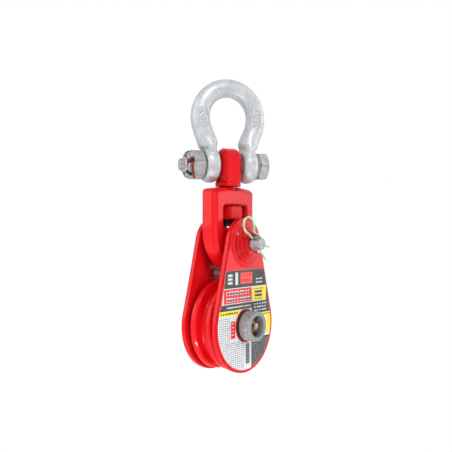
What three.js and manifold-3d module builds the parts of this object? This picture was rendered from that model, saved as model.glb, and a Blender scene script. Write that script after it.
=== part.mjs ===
// Single-sheave snatch block with a bow shackle and a swivel eye. Lengths in mm, +Z up.
// Drawing coordinates: x across the cheeks, z up from the sheave axle, w out of the front cheek (= -Y).
// The finished group is lowered so that z = 0 is the inside top of the shackle bow.
import * as THREE from 'three';
import { mergeVertices } from 'three/addons/utils/BufferGeometryUtils.js';
import Module from 'manifold-3d';

const wasm = await Module();
wasm.setup();

const RAD = Math.PI / 180;
const GAP = 0.3;

// Heights above the axle
const CROWN_Z = 213.5;
const BOLT_Z = 149;
const YOKE_TOP_Z = 128.9;
const LATCH_Z = 76;
const KEEPER_Z = 47.4;

// Cheeks
const CHEEK_FACE = 20.5;
const CHEEK_THICK = 5.5;
const CHEEK_INNER = CHEEK_FACE - CHEEK_THICK;
const CHEEK_R = 43.8;
const CHEEK_TOP_R = 24.3;
const CHEEK_TOP_Z = 75.5;
const CHEEK_FLANK_SAG = 0.3;
const CHEEK_EDGE = 1.6;
const BOSS_HEIGHT = 8.7;
const BOSS_STEPS = [
  [21.4, 0], [20.4, 0.9], [17.7, 1.2], [16.4, 3.0], [14.9, 3.4],
  [13.8, 5.2], [12.4, 5.6], [11.3, 7.6], [10.3, BOSS_HEIGHT],
];
const REAR_BOSS_RATIO = 0.6;

// Sheave and centre pin
const SHEAVE_R = 42;
const SHEAVE_HALF = 12;
const TREAD_R = 32;
const GROOVE_R = 5.3;
const RIM_LIP = 5.7;
const AXLE_R = 10;
const BUSH_R = 13;
const CUP_R = 13.8;
const CUP_RECESS_R = 9.9;
const CUP_START = 2.4;
const CUP_END = 14.1;

// Latch pin and hairpin
const LATCH_R = 6.6;
const LATCH_NECK_R = 5;
const LATCH_TIP_R = 5.5;
const LATCH_STEP_W = CHEEK_FACE + 13;
const LATCH_END_W = CHEEK_FACE + 19;
const CLIP_W = CHEEK_FACE + 11.5;
const CLIP_WIRE_R = 0.95;
const CLIP_SLOPE = -43 * RAD;

// Yoke
const YOKE_HALF_W = 30.6;
const YOKE_HALF_D = 9.1;
const YOKE_CHAMFER = 3.6;
const YOKE_HUB_R = 24.4;
const YOKE_CROWN_DROP = 2.9;
const WINDOW_HALF = 17.6;
const WINDOW_TOP = 111.2;
const WINDOW_BOTTOM = 90.6;

// Swivel eye
const LUG_HALF_T = 10.1;
const LUG_HALF_W = 14;
const LUG_TOP_R = 16.4;
const LUG_BEVEL = 4.4;
const NECK_R = 12.1;
const SHANK_R = 7.8;

// Shackle
const SHACKLE_TURN = -30 * RAD;
const BOW_HALF = 28;
const BOW_STOCK_R = 8.6;
const BOW_LEG_R = 9.1;
const EAR_X = 18.6;
const EAR_HALF_T = 6.6;
const EAR_R = 16.6;
const EAR_FACE = EAR_X + EAR_HALF_T;
const BOLT_R = 8;
const HEX_AF = 24;

// Paint and metal
const RED = { color: 0xd8202a, roughness: 0.32, metalness: 0.0 };
const GALVANISED = { color: 0xc3c9ce, roughness: 0.5, metalness: 0.85 };
const ZINC = { color: 0xb4b8b6, roughness: 0.42, metalness: 0.9 };
const TURNED = { color: 0xa3a4a3, roughness: 0.5, metalness: 0.9 };
const BRONZE = { color: 0xa9814a, roughness: 0.4, metalness: 0.9 };
const BRASS = { color: 0xc09a58, roughness: 0.3, metalness: 0.95 };
const RUSTED = { color: 0x8f4630, roughness: 0.8, metalness: 0.3 };
const BLACK = { color: 0x202224, roughness: 0.7, metalness: 0.1 };
const CLIP_ZINC = { color: 0xa9cdb8, roughness: 0.35, metalness: 0.85 };

// Signed volume of an indexed geometry, used to turn faces outward.
function signedVolume(position, index) {
  const a = new THREE.Vector3();
  const b = new THREE.Vector3();
  const c = new THREE.Vector3();
  let sum = 0;
  for (let i = 0; i < index.length; i += 3) {
    a.fromBufferAttribute(position, index[i]);
    b.fromBufferAttribute(position, index[i + 1]);
    c.fromBufferAttribute(position, index[i + 2]);
    sum += a.dot(b.cross(c));
  }
  return sum / 6;
}

// Welded, outward-facing solid of a closed geometry.
function solid(geometry) {
  const bare = geometry.clone();
  bare.deleteAttribute('normal');
  bare.deleteAttribute('uv');
  const merged = mergeVertices(bare, 1e-4);
  const source = merged.index.array;
  const kept = [];
  for (let i = 0; i < source.length; i += 3) {
    const [a, b, c] = [source[i], source[i + 1], source[i + 2]];
    if (a !== b && b !== c && a !== c) kept.push(a, b, c);
  }
  const position = merged.getAttribute('position');
  if (signedVolume(position, kept) < 0) kept.reverse();
  return new wasm.Manifold(new wasm.Mesh({
    numProp: 3,
    vertProperties: new Float32Array(position.array),
    triVerts: new Uint32Array(kept),
  }));
}

function join(first, ...others) {
  return others.reduce((sum, other) => sum.add(other), first);
}

function cut(body, ...tools) {
  return tools.reduce((rest, tool) => rest.subtract(tool), body);
}

// Closed loft through loops of equal length; both ends are closed by fans.
function loft(loops) {
  const count = loops[0].length;
  const points = [];
  const index = [];
  for (const loop of loops) {
    for (const p of loop) points.push(p.x, p.y, p.z);
  }
  for (let k = 0; k + 1 < loops.length; k += 1) {
    for (let i = 0; i < count; i += 1) {
      const a = k * count + i;
      const b = k * count + ((i + 1) % count);
      index.push(a, b, b + count, a, b + count, a + count);
    }
  }
  const addCap = (loop, base, reversed) => {
    const centre = new THREE.Vector3();
    for (const p of loop) centre.addScaledVector(p, 1 / count);
    const hub = points.length / 3;
    points.push(centre.x, centre.y, centre.z);
    for (let i = 0; i < count; i += 1) {
      const a = base + i;
      const b = base + ((i + 1) % count);
      if (reversed) index.push(hub, b, a);
      else index.push(hub, a, b);
    }
  };
  addCap(loops[0], 0, true);
  addCap(loops[loops.length - 1], (loops.length - 1) * count, false);
  const geometry = new THREE.BufferGeometry();
  geometry.setAttribute('position', new THREE.Float32BufferAttribute(points, 3));
  geometry.setIndex(index);
  return geometry;
}

// Offset of a closed outline in its plane; a positive distance goes inward on a counter-clockwise loop.
function inset(loop, distance) {
  const n = loop.length;
  return loop.map((p, i) => {
    const before = loop[(i + n - 1) % n];
    const after = loop[(i + 1) % n];
    const d1 = new THREE.Vector2().subVectors(p, before).normalize();
    const d2 = new THREE.Vector2().subVectors(after, p).normalize();
    const normal = new THREE.Vector2(-(d1.y + d2.y), d1.x + d2.x).normalize();
    const lean = Math.max(0.5, normal.dot(new THREE.Vector2(-d1.y, d1.x)));
    return p.clone().addScaledVector(normal, distance / lean);
  });
}

// Plate of an outline standing in the x-z plane, lofted through [w, inset] stations.
function plate(outline, stations) {
  return loft(stations.map(([w, d]) => inset(outline, d).map((p) => new THREE.Vector3(p.x, -w, p.y))));
}

// Revolved body; the profile holds [radius, height] pairs and starts and ends on the axis or on itself.
function revolve(profile, segments = 28) {
  const points = profile.map(([r, h]) => new THREE.Vector2(r, h));
  return new THREE.LatheGeometry(points, segments).rotateX(Math.PI / 2);
}

// Revolved body whose heights run along w, out of the front cheek, centred on (x, z).
function revolveW(profile, x, z, segments = 28) {
  return solid(revolve(profile, segments).rotateX(Math.PI / 2).translate(x, 0, z));
}

// Revolved body whose heights run along the shackle bolt, before the shackle is turned.
function revolveBolt(profile, segments = 24) {
  return solid(revolve(profile, segments).rotateY(Math.PI / 2).translate(0, 0, BOLT_Z));
}

// Solid disc or rod profile between two heights, with chamfered rims.
function rod(radius, from, to, chamferFrom = 0, chamferTo = chamferFrom) {
  return [
    [0, from], [radius - chamferFrom, from], [radius, from + chamferFrom],
    [radius, to - chamferTo], [radius - chamferTo, to], [0, to],
  ];
}

// Ring profile between two radii and two heights.
function ring(inner, outer, from, to) {
  return [[inner, from], [outer, from], [outer, to], [inner, to], [inner, from]];
}

// Hexagonal prism along +z with the corners turned away on both ends.
function hexPrism(acrossFlats, from, to, bevel, turn = 0) {
  const corner = acrossFlats / Math.sqrt(3);
  const prism = new THREE.CylinderGeometry(corner, corner, to - from, 6);
  prism.rotateX(Math.PI / 2).rotateZ(turn).translate(0, 0, (from + to) / 2);
  const drop = (corner - acrossFlats / 2) * 0.62 + 0.01;
  const low = bevel[0] ? drop : 0;
  const high = bevel[1] ? drop : 0;
  const flat = acrossFlats / 2 - 0.4;
  const profile = [
    [0, from - 0.01], [low ? flat : corner + 1, from - 0.01], [corner + 1, from + low * 1.6],
    [corner + 1, to - high * 1.6], [high ? flat : corner + 1, to + 0.01], [0, to + 0.01],
  ];
  return solid(prism).intersect(solid(revolve(profile, 24)));
}

function transformed(body, matrix) {
  return body.transform(matrix.elements);
}

const TO_BOLT = new THREE.Matrix4()
  .makeTranslation(0, 0, BOLT_Z)
  .multiply(new THREE.Matrix4().makeRotationY(Math.PI / 2));
const TURN_SHACKLE = new THREE.Matrix4().makeRotationZ(SHACKLE_TURN);

// Round bar along a smooth curve; the section has twice as many points as its curve has segments.
function bar(points, radius, steps, sides) {
  const path = new THREE.CatmullRomCurve3(points, false, 'centripetal');
  const section = new THREE.Shape();
  section.absarc(0, 0, radius, 0, 2 * Math.PI, false);
  const settings = { steps, curveSegments: sides / 2, extrudePath: path };
  return solid(new THREE.ExtrudeGeometry(section, settings));
}

// Straight round rod between two points.
function straightRod(from, to, radius, sides = 24) {
  const axis = new THREE.Vector3().subVectors(to, from);
  const body = new THREE.CylinderGeometry(radius, radius, axis.length(), sides);
  const up = new THREE.Vector3(0, 1, 0);
  body.applyQuaternion(new THREE.Quaternion().setFromUnitVectors(up, axis.clone().normalize()));
  const middle = new THREE.Vector3().addVectors(from, to).multiplyScalar(0.5);
  return solid(body.translate(middle.x, middle.y, middle.z));
}

// Cheeks

// Pear outline of a cheek, counter-clockwise from the bottom, with slightly hollow flanks.
function cheekOutline() {
  const lean = Math.asin((CHEEK_R - CHEEK_TOP_R) / CHEEK_TOP_Z);
  const points = [];
  const arc = (radius, z, from, to, steps) => {
    for (let i = 0; i <= steps; i += 1) {
      const angle = from + (to - from) * (i / steps);
      points.push(new THREE.Vector2(radius * Math.cos(angle), z + radius * Math.sin(angle)));
    }
  };
  const flank = (start, end, steps) => {
    const across = new THREE.Vector2().subVectors(end, start);
    const inward = new THREE.Vector2(-across.y, across.x).normalize();
    for (let i = 1; i < steps; i += 1) {
      const t = i / steps;
      const sag = CHEEK_FLANK_SAG * 4 * t * (1 - t);
      points.push(start.clone().addScaledVector(across, t).addScaledVector(inward, sag));
    }
  };
  arc(CHEEK_R, 0, -Math.PI / 2, lean, 13);
  const rightLow = points[points.length - 1];
  const rightHigh = new THREE.Vector2(
    CHEEK_TOP_R * Math.cos(lean),
    CHEEK_TOP_Z + CHEEK_TOP_R * Math.sin(lean),
  );
  flank(rightLow, rightHigh, 3);
  arc(CHEEK_TOP_R, CHEEK_TOP_Z, lean, Math.PI - lean, 16);
  const leftHigh = points[points.length - 1];
  const leftLow = new THREE.Vector2(-rightLow.x, rightLow.y);
  flank(leftHigh, leftLow, 3);
  arc(CHEEK_R, 0, Math.PI - lean, 1.5 * Math.PI, 13);
  points.pop();
  return points;
}

// Forged cheek: plate with a rounded outer edge and a stepped boss round the latch pin.
function cheekBlank(bossRatio) {
  const stations = [
    [CHEEK_INNER, 0.8], [CHEEK_INNER + 0.8, 0], [CHEEK_FACE - CHEEK_EDGE, 0],
    [CHEEK_FACE - CHEEK_EDGE * 0.35, CHEEK_EDGE * 0.3], [CHEEK_FACE, CHEEK_EDGE],
  ];
  const body = solid(plate(cheekOutline(), stations));
  const profile = [
    [0, CHEEK_FACE - 2], [BOSS_STEPS[0][0], CHEEK_FACE - 2],
    ...BOSS_STEPS.map(([r, h]) => [r, CHEEK_FACE + h * bossRatio]),
    [0, CHEEK_FACE + BOSS_HEIGHT * bossRatio],
  ];
  return join(body, revolveW(profile, 0, LATCH_Z, 28));
}

const ACROSS = [-45, 45];

function frontCheek() {
  const axleBore = revolveW(rod(AXLE_R + 0.4, ...ACROSS), 0, 0);
  const neckBore = revolveW(rod(LATCH_NECK_R + 0.4, ...ACROSS), 0, LATCH_Z, 24);
  return cut(cheekBlank(1), axleBore, neckBore, latchSlot());
}

// Way out for the neck of the latch pin: a slot to the cheek's edge along an arc about the axle.
function latchSlot() {
  const half = LATCH_NECK_R + 0.4;
  const shape = new THREE.Shape();
  shape.absarc(0, 0, LATCH_Z + half, 90 * RAD, 60 * RAD, true);
  shape.absarc(0, 0, LATCH_Z - half, 60 * RAD, 90 * RAD, false);
  shape.closePath();
  const slot = new THREE.ExtrudeGeometry(shape, { depth: 30, bevelEnabled: false, curveSegments: 10 });
  return solid(slot.translate(0, 0, CHEEK_INNER - 2).rotateX(Math.PI / 2));
}

function rearCheek() {
  const mirror = new THREE.Matrix4().makeScale(1, -1, 1);
  const blank = transformed(cheekBlank(REAR_BOSS_RATIO), mirror);
  const axleBore = revolveW(rod(AXLE_R + GAP, ...ACROSS), 0, 0);
  const pinBore = revolveW(rod(LATCH_R + GAP, ...ACROSS), 0, LATCH_Z, 28);
  const keeperBore = revolveW(rod(3.2, ...ACROSS), 0, KEEPER_Z, 16);
  return cut(blank, axleBore, pinBore, keeperBore);
}

// Sheave, bush, washers, centre pin

// Section of the sheave: hub, thinner web, rim and a round-bottomed rope groove.
function sheaveSection() {
  const half = [
    [20.5, SHEAVE_HALF], [21.8, 8.2], [26.2, 8.2], [28.4, 11.2], [SHEAVE_R - 1.6, SHEAVE_HALF],
    [SHEAVE_R, SHEAVE_HALF - 1.4], [SHEAVE_R, RIM_LIP + 1.4], [SHEAVE_R - 1.4, RIM_LIP - 0.1],
  ];
  const centre = TREAD_R + GROOVE_R;
  const groove = [];
  for (let i = 0; i <= 5; i += 1) {
    const angle = (i / 5) * Math.PI;
    groove.push([centre - GROOVE_R * Math.sin(angle), GROOVE_R * Math.cos(angle)]);
  }
  const other = half.map(([r, w]) => [r, -w]).reverse();
  const bore = BUSH_R + GAP;
  return [[bore, SHEAVE_HALF], ...half, ...groove, ...other, [bore, -SHEAVE_HALF], [bore, SHEAVE_HALF]];
}

function centrePin() {
  const rearHead = [
    [0, -CHEEK_FACE - 6.3], [12.2, -CHEEK_FACE - 6.3], [14, -CHEEK_FACE - 4.6],
    [14, -CHEEK_FACE - GAP], [AXLE_R, -CHEEK_FACE - GAP],
  ];
  const front = CHEEK_FACE + CUP_START;
  const profile = [...rearHead, [AXLE_R, front - 0.4], [7.7, front - 0.4],
    [7.7, front + 3.1], [7, front + 3.8], [0, front + 3.8]];
  const port = revolveW(rod(3.3, front - 2, front + 5), 0, 0, 16);
  return cut(revolveW(profile, 0, 0), port);
}

// Turned cup nut on the centre pin, deep enough to shelter the grease nipple.
function centreCup() {
  const start = CHEEK_FACE + CUP_START;
  const end = CHEEK_FACE + CUP_END;
  const profile = [
    [8, start], [CUP_R - 0.5, start], [CUP_R, start + 0.5], [CUP_R, end - 1.2],
    [CUP_R - 1.1, end], [CUP_RECESS_R + 0.5, end], [CUP_RECESS_R, end - 0.7],
    [CUP_RECESS_R, start + 3.6], [8, start + 3.6], [8, start],
  ];
  return revolveW(profile, 0, 0);
}

function greaseNipple() {
  const foot = CHEEK_FACE + CUP_START + 3.8 + GAP;
  const stem = revolveW([
    [0, foot - 4], [2.9, foot - 4], [2.9, foot + 1], [2.3, foot + 3.2], [2.1, foot + 3.6],
    [3.0, foot + 4.4], [3.2, foot + 5.2], [2.9, foot + 6], [1.4, foot + 6.4], [0, foot + 6.4],
  ], 0, 0, 16);
  const hex = hexPrism(8, foot, foot + 3, [0, 1]);
  return join(stem, transformed(hex, new THREE.Matrix4().makeRotationX(Math.PI / 2)));
}

function keeperBar() {
  return revolveW([
    [0, -CHEEK_FACE + 0.6], [2.9, -CHEEK_FACE + 0.6], [2.9, -CHEEK_INNER + GAP],
    [3.8, -CHEEK_INNER + GAP], [3.8, CHEEK_INNER - GAP - 0.6], [3.2, CHEEK_INNER - GAP],
    [0, CHEEK_INNER - GAP],
  ], 0, KEEPER_Z, 20);
}

// Latch pin and hairpin

// Point of the hairpin's plane: s along the straight leg towards its tip, t square to it.
function clipPoint(s, t) {
  const along = new THREE.Vector2(Math.cos(CLIP_SLOPE), Math.sin(CLIP_SLOPE));
  const x = s * along.x - t * along.y;
  const z = LATCH_Z + s * along.y + t * along.x;
  return new THREE.Vector3(x, -CLIP_W, z);
}

// Latch pin: head behind, full shank in the yoke, neck in the front cheek, collar and tip outside.
function latchPin() {
  const rear = -CHEEK_FACE - BOSS_HEIGHT * REAR_BOSS_RATIO - GAP;
  const neckEnd = CHEEK_FACE + BOSS_HEIGHT + GAP;
  const body = revolveW([
    [0, rear - 4], [7.8, rear - 4], [9, rear - 2.8], [9, rear], [LATCH_R, rear],
    [LATCH_R, CHEEK_INNER - 0.5], [LATCH_NECK_R, CHEEK_INNER - GAP], [LATCH_NECK_R, neckEnd],
    [LATCH_R - 0.3, neckEnd], [LATCH_R, neckEnd + 0.3], [LATCH_R, LATCH_STEP_W - 0.5],
    [LATCH_R - 0.5, LATCH_STEP_W], [LATCH_TIP_R, LATCH_STEP_W],
    [LATCH_TIP_R, LATCH_END_W - 0.8], [LATCH_TIP_R - 0.8, LATCH_END_W], [0, LATCH_END_W],
  ], 0, LATCH_Z, 24);
  const hole = straightRod(clipPoint(-12, 0), clipPoint(12, 0), CLIP_WIRE_R + 0.45, 12);
  return cut(body, hole);
}

// Spring clip: straight leg through the pin, round head, second leg waved over the pin.
function hairpin() {
  const stations = [
    [22, 0], [12, 0], [2, 0], [-7, 0], [-13, -0.6], [-19.3, -2.2], [-24.8, -0.3], [-27.2, 5.2],
    [-24.2, 10.7], [-18.4, 12.4], [-13.2, 10.6], [-9.2, 6.4], [-6.2, 6.7], [-2.4, 8.7],
    [2, 9.5], [7, 9.2], [11.8, 8.3], [15.2, 10.2], [18.6, 13],
  ];
  return bar(stations.map(([s, t]) => clipPoint(s, t)), CLIP_WIRE_R, 40, 8);
}

// Yoke

// Outline of the yoke: crowned top, straight sides, and a hub round the latch pin below.
function yokeOutline() {
  const side = new THREE.CatmullRomCurve3([
    [0, LATCH_Z - YOKE_HUB_R], [8.2, 53.1], [15.6, 57.3], [21.6, 62.9], [26.6, 70.2],
    [29.6, 79.4], [YOKE_HALF_W, 90], [YOKE_HALF_W, 100],
  ].map(([x, z]) => new THREE.Vector3(x, z, 0)), false, 'centripetal');
  const right = side.getPoints(16).map((p) => new THREE.Vector2(p.x, p.y));
  const shoulder = YOKE_TOP_Z - YOKE_CROWN_DROP;
  right.push(new THREE.Vector2(YOKE_HALF_W, shoulder - 2));
  right.push(new THREE.Vector2(YOKE_HALF_W - 0.6, shoulder - 0.6));
  for (let i = 0; i < 4; i += 1) {
    const x = (YOKE_HALF_W - 2) * (1 - i / 4);
    const crown = YOKE_TOP_Z - YOKE_CROWN_DROP * (x / YOKE_HALF_W) ** 2;
    right.push(new THREE.Vector2(x, crown));
  }
  const left = right.slice(1).reverse().map((p) => new THREE.Vector2(-p.x, p.y));
  return [...right, new THREE.Vector2(0, YOKE_TOP_Z), ...left];
}

// Window for the swivel nut, with rounded corners and edges eased towards both faces.
function windowTool() {
  const corner = 3.2;
  const centres = [
    [WINDOW_HALF - corner, WINDOW_BOTTOM + corner, 270], [WINDOW_HALF - corner, WINDOW_TOP - corner, 0],
    [corner - WINDOW_HALF, WINDOW_TOP - corner, 90], [corner - WINDOW_HALF, WINDOW_BOTTOM + corner, 180],
  ];
  const outline = [];
  for (const [x, z, start] of centres) {
    for (let i = 0; i <= 3; i += 1) {
      const angle = (start + i * 30) * RAD;
      outline.push(new THREE.Vector2(x + corner * Math.cos(angle), z + corner * Math.sin(angle)));
    }
  }
  const d = YOKE_HALF_D;
  return solid(plate(outline, [[-d - 1, -2.4], [-d + 1.4, 0], [d - 1.4, 0], [d + 1, -2.4]]));
}

function yoke() {
  const d = YOKE_HALF_D;
  const c = YOKE_CHAMFER;
  const stations = [
    [-d, c], [-d + 0.5 * c, 0.42 * c], [-d + c, 0], [d - c, 0], [d - 0.5 * c, 0.42 * c], [d, c],
  ];
  const body = solid(plate(yokeOutline(), stations));
  const shankBore = solid(revolve(rod(SHANK_R + 0.4, 100, 140), 24));
  const pinBore = revolveW(rod(LATCH_R + 0.4, ...ACROSS), 0, LATCH_Z, 28);
  return cut(body, windowTool(), shankBore, pinBore);
}

// Swivel eye, its nut and lock pin

// Outline of the lug across its bolt hole: round top, straight sides, taper to the neck.
function lugOutline() {
  const points = [];
  const side = Math.acos(LUG_HALF_W / LUG_TOP_R);
  for (let i = 0; i <= 12; i += 1) {
    const angle = side + (Math.PI - 2 * side) * (i / 12);
    points.push(new THREE.Vector2(LUG_TOP_R * Math.cos(angle), BOLT_Z + LUG_TOP_R * Math.sin(angle)));
  }
  points.push(new THREE.Vector2(-LUG_HALF_W, BOLT_Z));
  points.push(new THREE.Vector2(-LUG_HALF_W, 138));
  points.push(new THREE.Vector2(-NECK_R + 0.6, 132.4));
  points.push(new THREE.Vector2(NECK_R - 0.6, 132.4));
  points.push(new THREE.Vector2(LUG_HALF_W, 138));
  points.push(new THREE.Vector2(LUG_HALF_W, BOLT_Z));
  return points;
}

const LOCK_Z = 103;

function swivelEye() {
  const t = LUG_HALF_T;
  const b = LUG_BEVEL;
  const stations = [
    [-t, b], [-t + 0.45 * b, 0.38 * b], [-t + b, 0], [t - b, 0], [t - 0.45 * b, 0.38 * b], [t, b],
  ];
  const lug = solid(plate(lugOutline(), stations).rotateZ(Math.PI / 2));
  const foot = YOKE_TOP_Z + GAP;
  const end = WINDOW_TOP - GAP - 17.2;
  const stem = solid(revolve([
    [0, end], [SHANK_R - 1, end], [SHANK_R, end + 1], [SHANK_R, foot], [NECK_R - 0.5, foot],
    [NECK_R, foot + 0.5], [NECK_R, 132.4], [NECK_R - 1.2, 137], [0, 141],
  ], 28));
  const bore = revolveBolt(rod(BOLT_R + 0.45, -20, 20));
  return cut(transformed(join(lug, stem).subtract(bore), TURN_SHACKLE), turnedNutwise(lockRod(14, 2.2)));
}

// The swivel nut stands turned so that two of its corners look the way they do in the window.
function turnedNutwise(body) {
  return transformed(body, new THREE.Matrix4().makeRotationZ(19.5 * RAD));
}

// Rod across two flats of the swivel nut, for the lock pin and its hole.
function lockRod(half, radius) {
  const reach = new THREE.Vector3(half * Math.cos(-60 * RAD), half * Math.sin(-60 * RAD), 0);
  const middle = new THREE.Vector3(0, 0, LOCK_Z);
  return straightRod(middle.clone().sub(reach), middle.clone().add(reach), radius, 12);
}

function swivelNut() {
  const top = WINDOW_TOP - GAP;
  const hex = hexPrism(HEX_AF, top - 13, top, [1, 1], 0);
  const bore = solid(revolve(rod(SHANK_R + GAP, 80, 120), 24));
  return turnedNutwise(cut(hex, bore, lockRod(14, 2.2)));
}

function swivelLockPin() {
  return turnedNutwise(lockRod(HEX_AF / 2 - 0.2, 1.9));
}

// Shackle

// Centre line of the bow in the plane of the bolt, from the left ear over the crown to the right.
function bowLine() {
  const leg = [[EAR_X, BOLT_Z + 2], [18.7, 157], [19.5, 164.5], [21.4, 171.8], [24.5, 179], [26.9, 186]];
  const crown = [];
  for (let i = 0; i <= 12; i += 1) {
    const angle = Math.PI * (i / 12);
    crown.push([BOW_HALF * Math.cos(angle), CROWN_Z + BOW_STOCK_R - BOW_HALF + BOW_HALF * Math.sin(angle)]);
  }
  const left = leg.map(([x, z]) => [-x, z]).reverse();
  const points = [...leg, ...crown, ...left].map(([x, z]) => new THREE.Vector3(x, 0, z));
  return new THREE.CatmullRomCurve3(points, false, 'centripetal');
}

// Forged bow: round stock, flattened and widened where it runs into two barrel-shaped ears.
function shackleBow() {
  const line = bowLine();
  const steps = 40;
  const sides = 12;
  const loops = [];
  for (let k = 0; k <= steps; k += 1) {
    const t = k / steps;
    const centre = line.getPointAt(t);
    const tangent = line.getTangentAt(t);
    const across = new THREE.Vector3(-tangent.z, 0, tangent.x);
    const near = Math.min(t, 1 - t);
    const flat = THREE.MathUtils.smoothstep(near, 0.07, 0.1);
    const slim = THREE.MathUtils.smoothstep(near, 0.12, 0.45);
    const stock = THREE.MathUtils.lerp(BOW_LEG_R, BOW_STOCK_R, slim);
    const thin = THREE.MathUtils.lerp(EAR_HALF_T - 0.6, stock, flat);
    const wide = THREE.MathUtils.lerp(13.2, stock, THREE.MathUtils.smoothstep(near, 0.06, 0.17));
    const loop = [];
    for (let i = 0; i < sides; i += 1) {
      const angle = 2 * Math.PI * (i / sides);
      const p = centre.clone().addScaledVector(across, thin * Math.cos(angle));
      p.y += wide * Math.sin(angle);
      loop.push(p);
    }
    loops.push(loop);
  }
  const ear = [
    [0, -EAR_HALF_T], [EAR_R - 4, -EAR_HALF_T], [EAR_R - 2.2, -EAR_HALF_T + 1],
    [EAR_R - 0.6, -EAR_HALF_T + 3.4], [EAR_R, 0], [EAR_R - 0.2, EAR_HALF_T - 4.2],
    [EAR_R - 1.2, EAR_HALF_T - 1.2], [EAR_R - 2.6, EAR_HALF_T], [0, EAR_HALF_T],
  ];
  const right = transformed(revolveBolt(ear), new THREE.Matrix4().makeTranslation(EAR_X, 0, 0));
  const left = transformed(right, new THREE.Matrix4().makeScale(-1, 1, 1));
  const bore = revolveBolt(rod(BOLT_R + 0.45, -40, 40));
  return transformed(join(solid(loft(loops)), left, right).subtract(bore), TURN_SHACKLE);
}

const COTTER_X = -EAR_FACE - GAP - 15.6;
const NUT_TURN = -13 * RAD;

// Point at x along the bolt, y along the split pin and z square to both.
function atCotter(x, y, z) {
  const c = Math.cos(NUT_TURN);
  const s = Math.sin(NUT_TURN);
  return new THREE.Vector3(COTTER_X + x, y * c - z * s, BOLT_Z + y * s + z * c);
}

function shackleBolt() {
  const headStart = EAR_FACE + 3.4;
  const shank = revolveBolt([
    [0, -48.3], [4.4, -48.3], [5.5, -47.2], [5.5, -44.7], [6.4, -44.5],
    [BOLT_R - 0.3, -43.3], [BOLT_R - 0.3, -EAR_FACE - 1.4], [BOLT_R, -EAR_FACE - 1.1],
    [BOLT_R, headStart + 1], [0, headStart + 1],
  ]);
  const head = transformed(hexPrism(HEX_AF, headStart, headStart + 9.3, [0, 1]), TO_BOLT);
  const hole = straightRod(atCotter(0, -20, 0), atCotter(0, 20, 0), 1.8, 14);
  return transformed(cut(join(shank, head), hole), TURN_SHACKLE);
}

function shackleWasher() {
  return transformed(revolveBolt(ring(BOLT_R + GAP, 12.9, EAR_FACE + GAP, EAR_FACE + 3.1)), TURN_SHACKLE);
}

// Slotted nut: domed hexagon with six slots at its corners for the split pin.
function shackleNut() {
  const start = -EAR_FACE - GAP;
  const end = start - 17.7;
  const hex = transformed(hexPrism(HEX_AF, end - 1, start, [0, 1], NUT_TURN), TO_BOLT);
  const dome = revolveBolt([
    [0, end], [8.9, end], [9.7, end + 0.6], [11, end + 1.8], [12.3, end + 3.4], [13.3, end + 5.4],
    [14.2, end + 7.6], [14.2, start + 1], [0, start + 1],
  ]);
  const bore = revolveBolt(rod(BOLT_R, start - 20, start + 2));
  const slots = [0, 1, 2].map((k) => {
    const box = new THREE.BoxGeometry(8, 40, 4.3).translate(end + 5.4 - 4, 0, 0);
    return solid(box.rotateX(k * 60 * RAD + NUT_TURN).translate(0, 0, BOLT_Z));
  });
  return transformed(cut(hex.intersect(dome), bore, ...slots), TURN_SHACKLE);
}

// Split pin through the nut: round eye behind, one half bent up short, the other hanging down.
function shackleCotter() {
  const shank = straightRod(atCotter(0, 12.6, 0), atCotter(0, -11.4, 0), 1.5, 12);
  const eye = [];
  for (let i = 0; i <= 12; i += 1) {
    const angle = (-160 + i * 320 / 12) * RAD;
    eye.push(atCotter(0, 15.2 + 2.9 * Math.cos(angle), 2.9 * Math.sin(angle)));
  }
  const longHalf = [
    atCotter(0.5, -9.5, -0.1), atCotter(0.7, -12.1, -0.3), atCotter(0.7, -13.7, -1.9),
    atCotter(0.8, -13, -7), atCotter(1.8, -10.8, -11.7), atCotter(3, -8.3, -15.5),
  ];
  const shortHalf = [
    atCotter(-0.5, -9.5, 0.1), atCotter(-1.7, -12.6, 0.4), atCotter(-1.5, -14.2, 0.8),
    atCotter(0.2, -15, 1.4), atCotter(2.2, -15.3, 2),
  ];
  const parts = [bar(eye, 1.1, 16, 6), bar(longHalf, 1.05, 14, 8), bar(shortHalf, 1.05, 12, 8)];
  return transformed(join(shank, ...parts), TURN_SHACKLE);
}

// Assembly

// Washer or spacer round an axis along w at height z.
function washer(inner, outer, from, to, z) {
  return revolveW(ring(inner, outer, from, to), 0, z, 20);
}

const group = new THREE.Group();
group.name = 'snatch_block';

function add(name, body, material) {
  const { vertProperties, triVerts } = body.getMesh();
  const geometry = new THREE.BufferGeometry();
  geometry.setAttribute('position', new THREE.Float32BufferAttribute(vertProperties, 3));
  geometry.setIndex(Array.from(triVerts));
  geometry.translate(0, 0, -CROWN_Z);
  geometry.computeVertexNormals();
  const mesh = new THREE.Mesh(geometry, new THREE.MeshStandardMaterial(material));
  mesh.name = name;
  group.add(mesh);
}

add('shackle_bow', shackleBow(), GALVANISED);
add('shackle_bolt', shackleBolt(), ZINC);
add('shackle_washer', shackleWasher(), ZINC);
add('shackle_nut', shackleNut(), ZINC);
add('shackle_cotter', shackleCotter(), RUSTED);
add('swivel_eye', swivelEye(), RED);
add('swivel_nut', swivelNut(), RED);
add('swivel_lock_pin', swivelLockPin(), ZINC);
add('yoke', yoke(), RED);
add('yoke_spacer_front', washer(LATCH_R + GAP, 11.2, YOKE_HALF_D + GAP, CHEEK_INNER - GAP, LATCH_Z), ZINC);
add('yoke_spacer_rear', washer(LATCH_R + GAP, 11.2, GAP - CHEEK_INNER, -YOKE_HALF_D - GAP, LATCH_Z), ZINC);
add('rear_cheek', rearCheek(), RED);
add('front_cheek', frontCheek(), RED);
add('latch_pin', latchPin(), ZINC);
add('hairpin', hairpin(), CLIP_ZINC);
add('sheave', revolveW(sheaveSection(), 0, 0, 34), RED);
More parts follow.
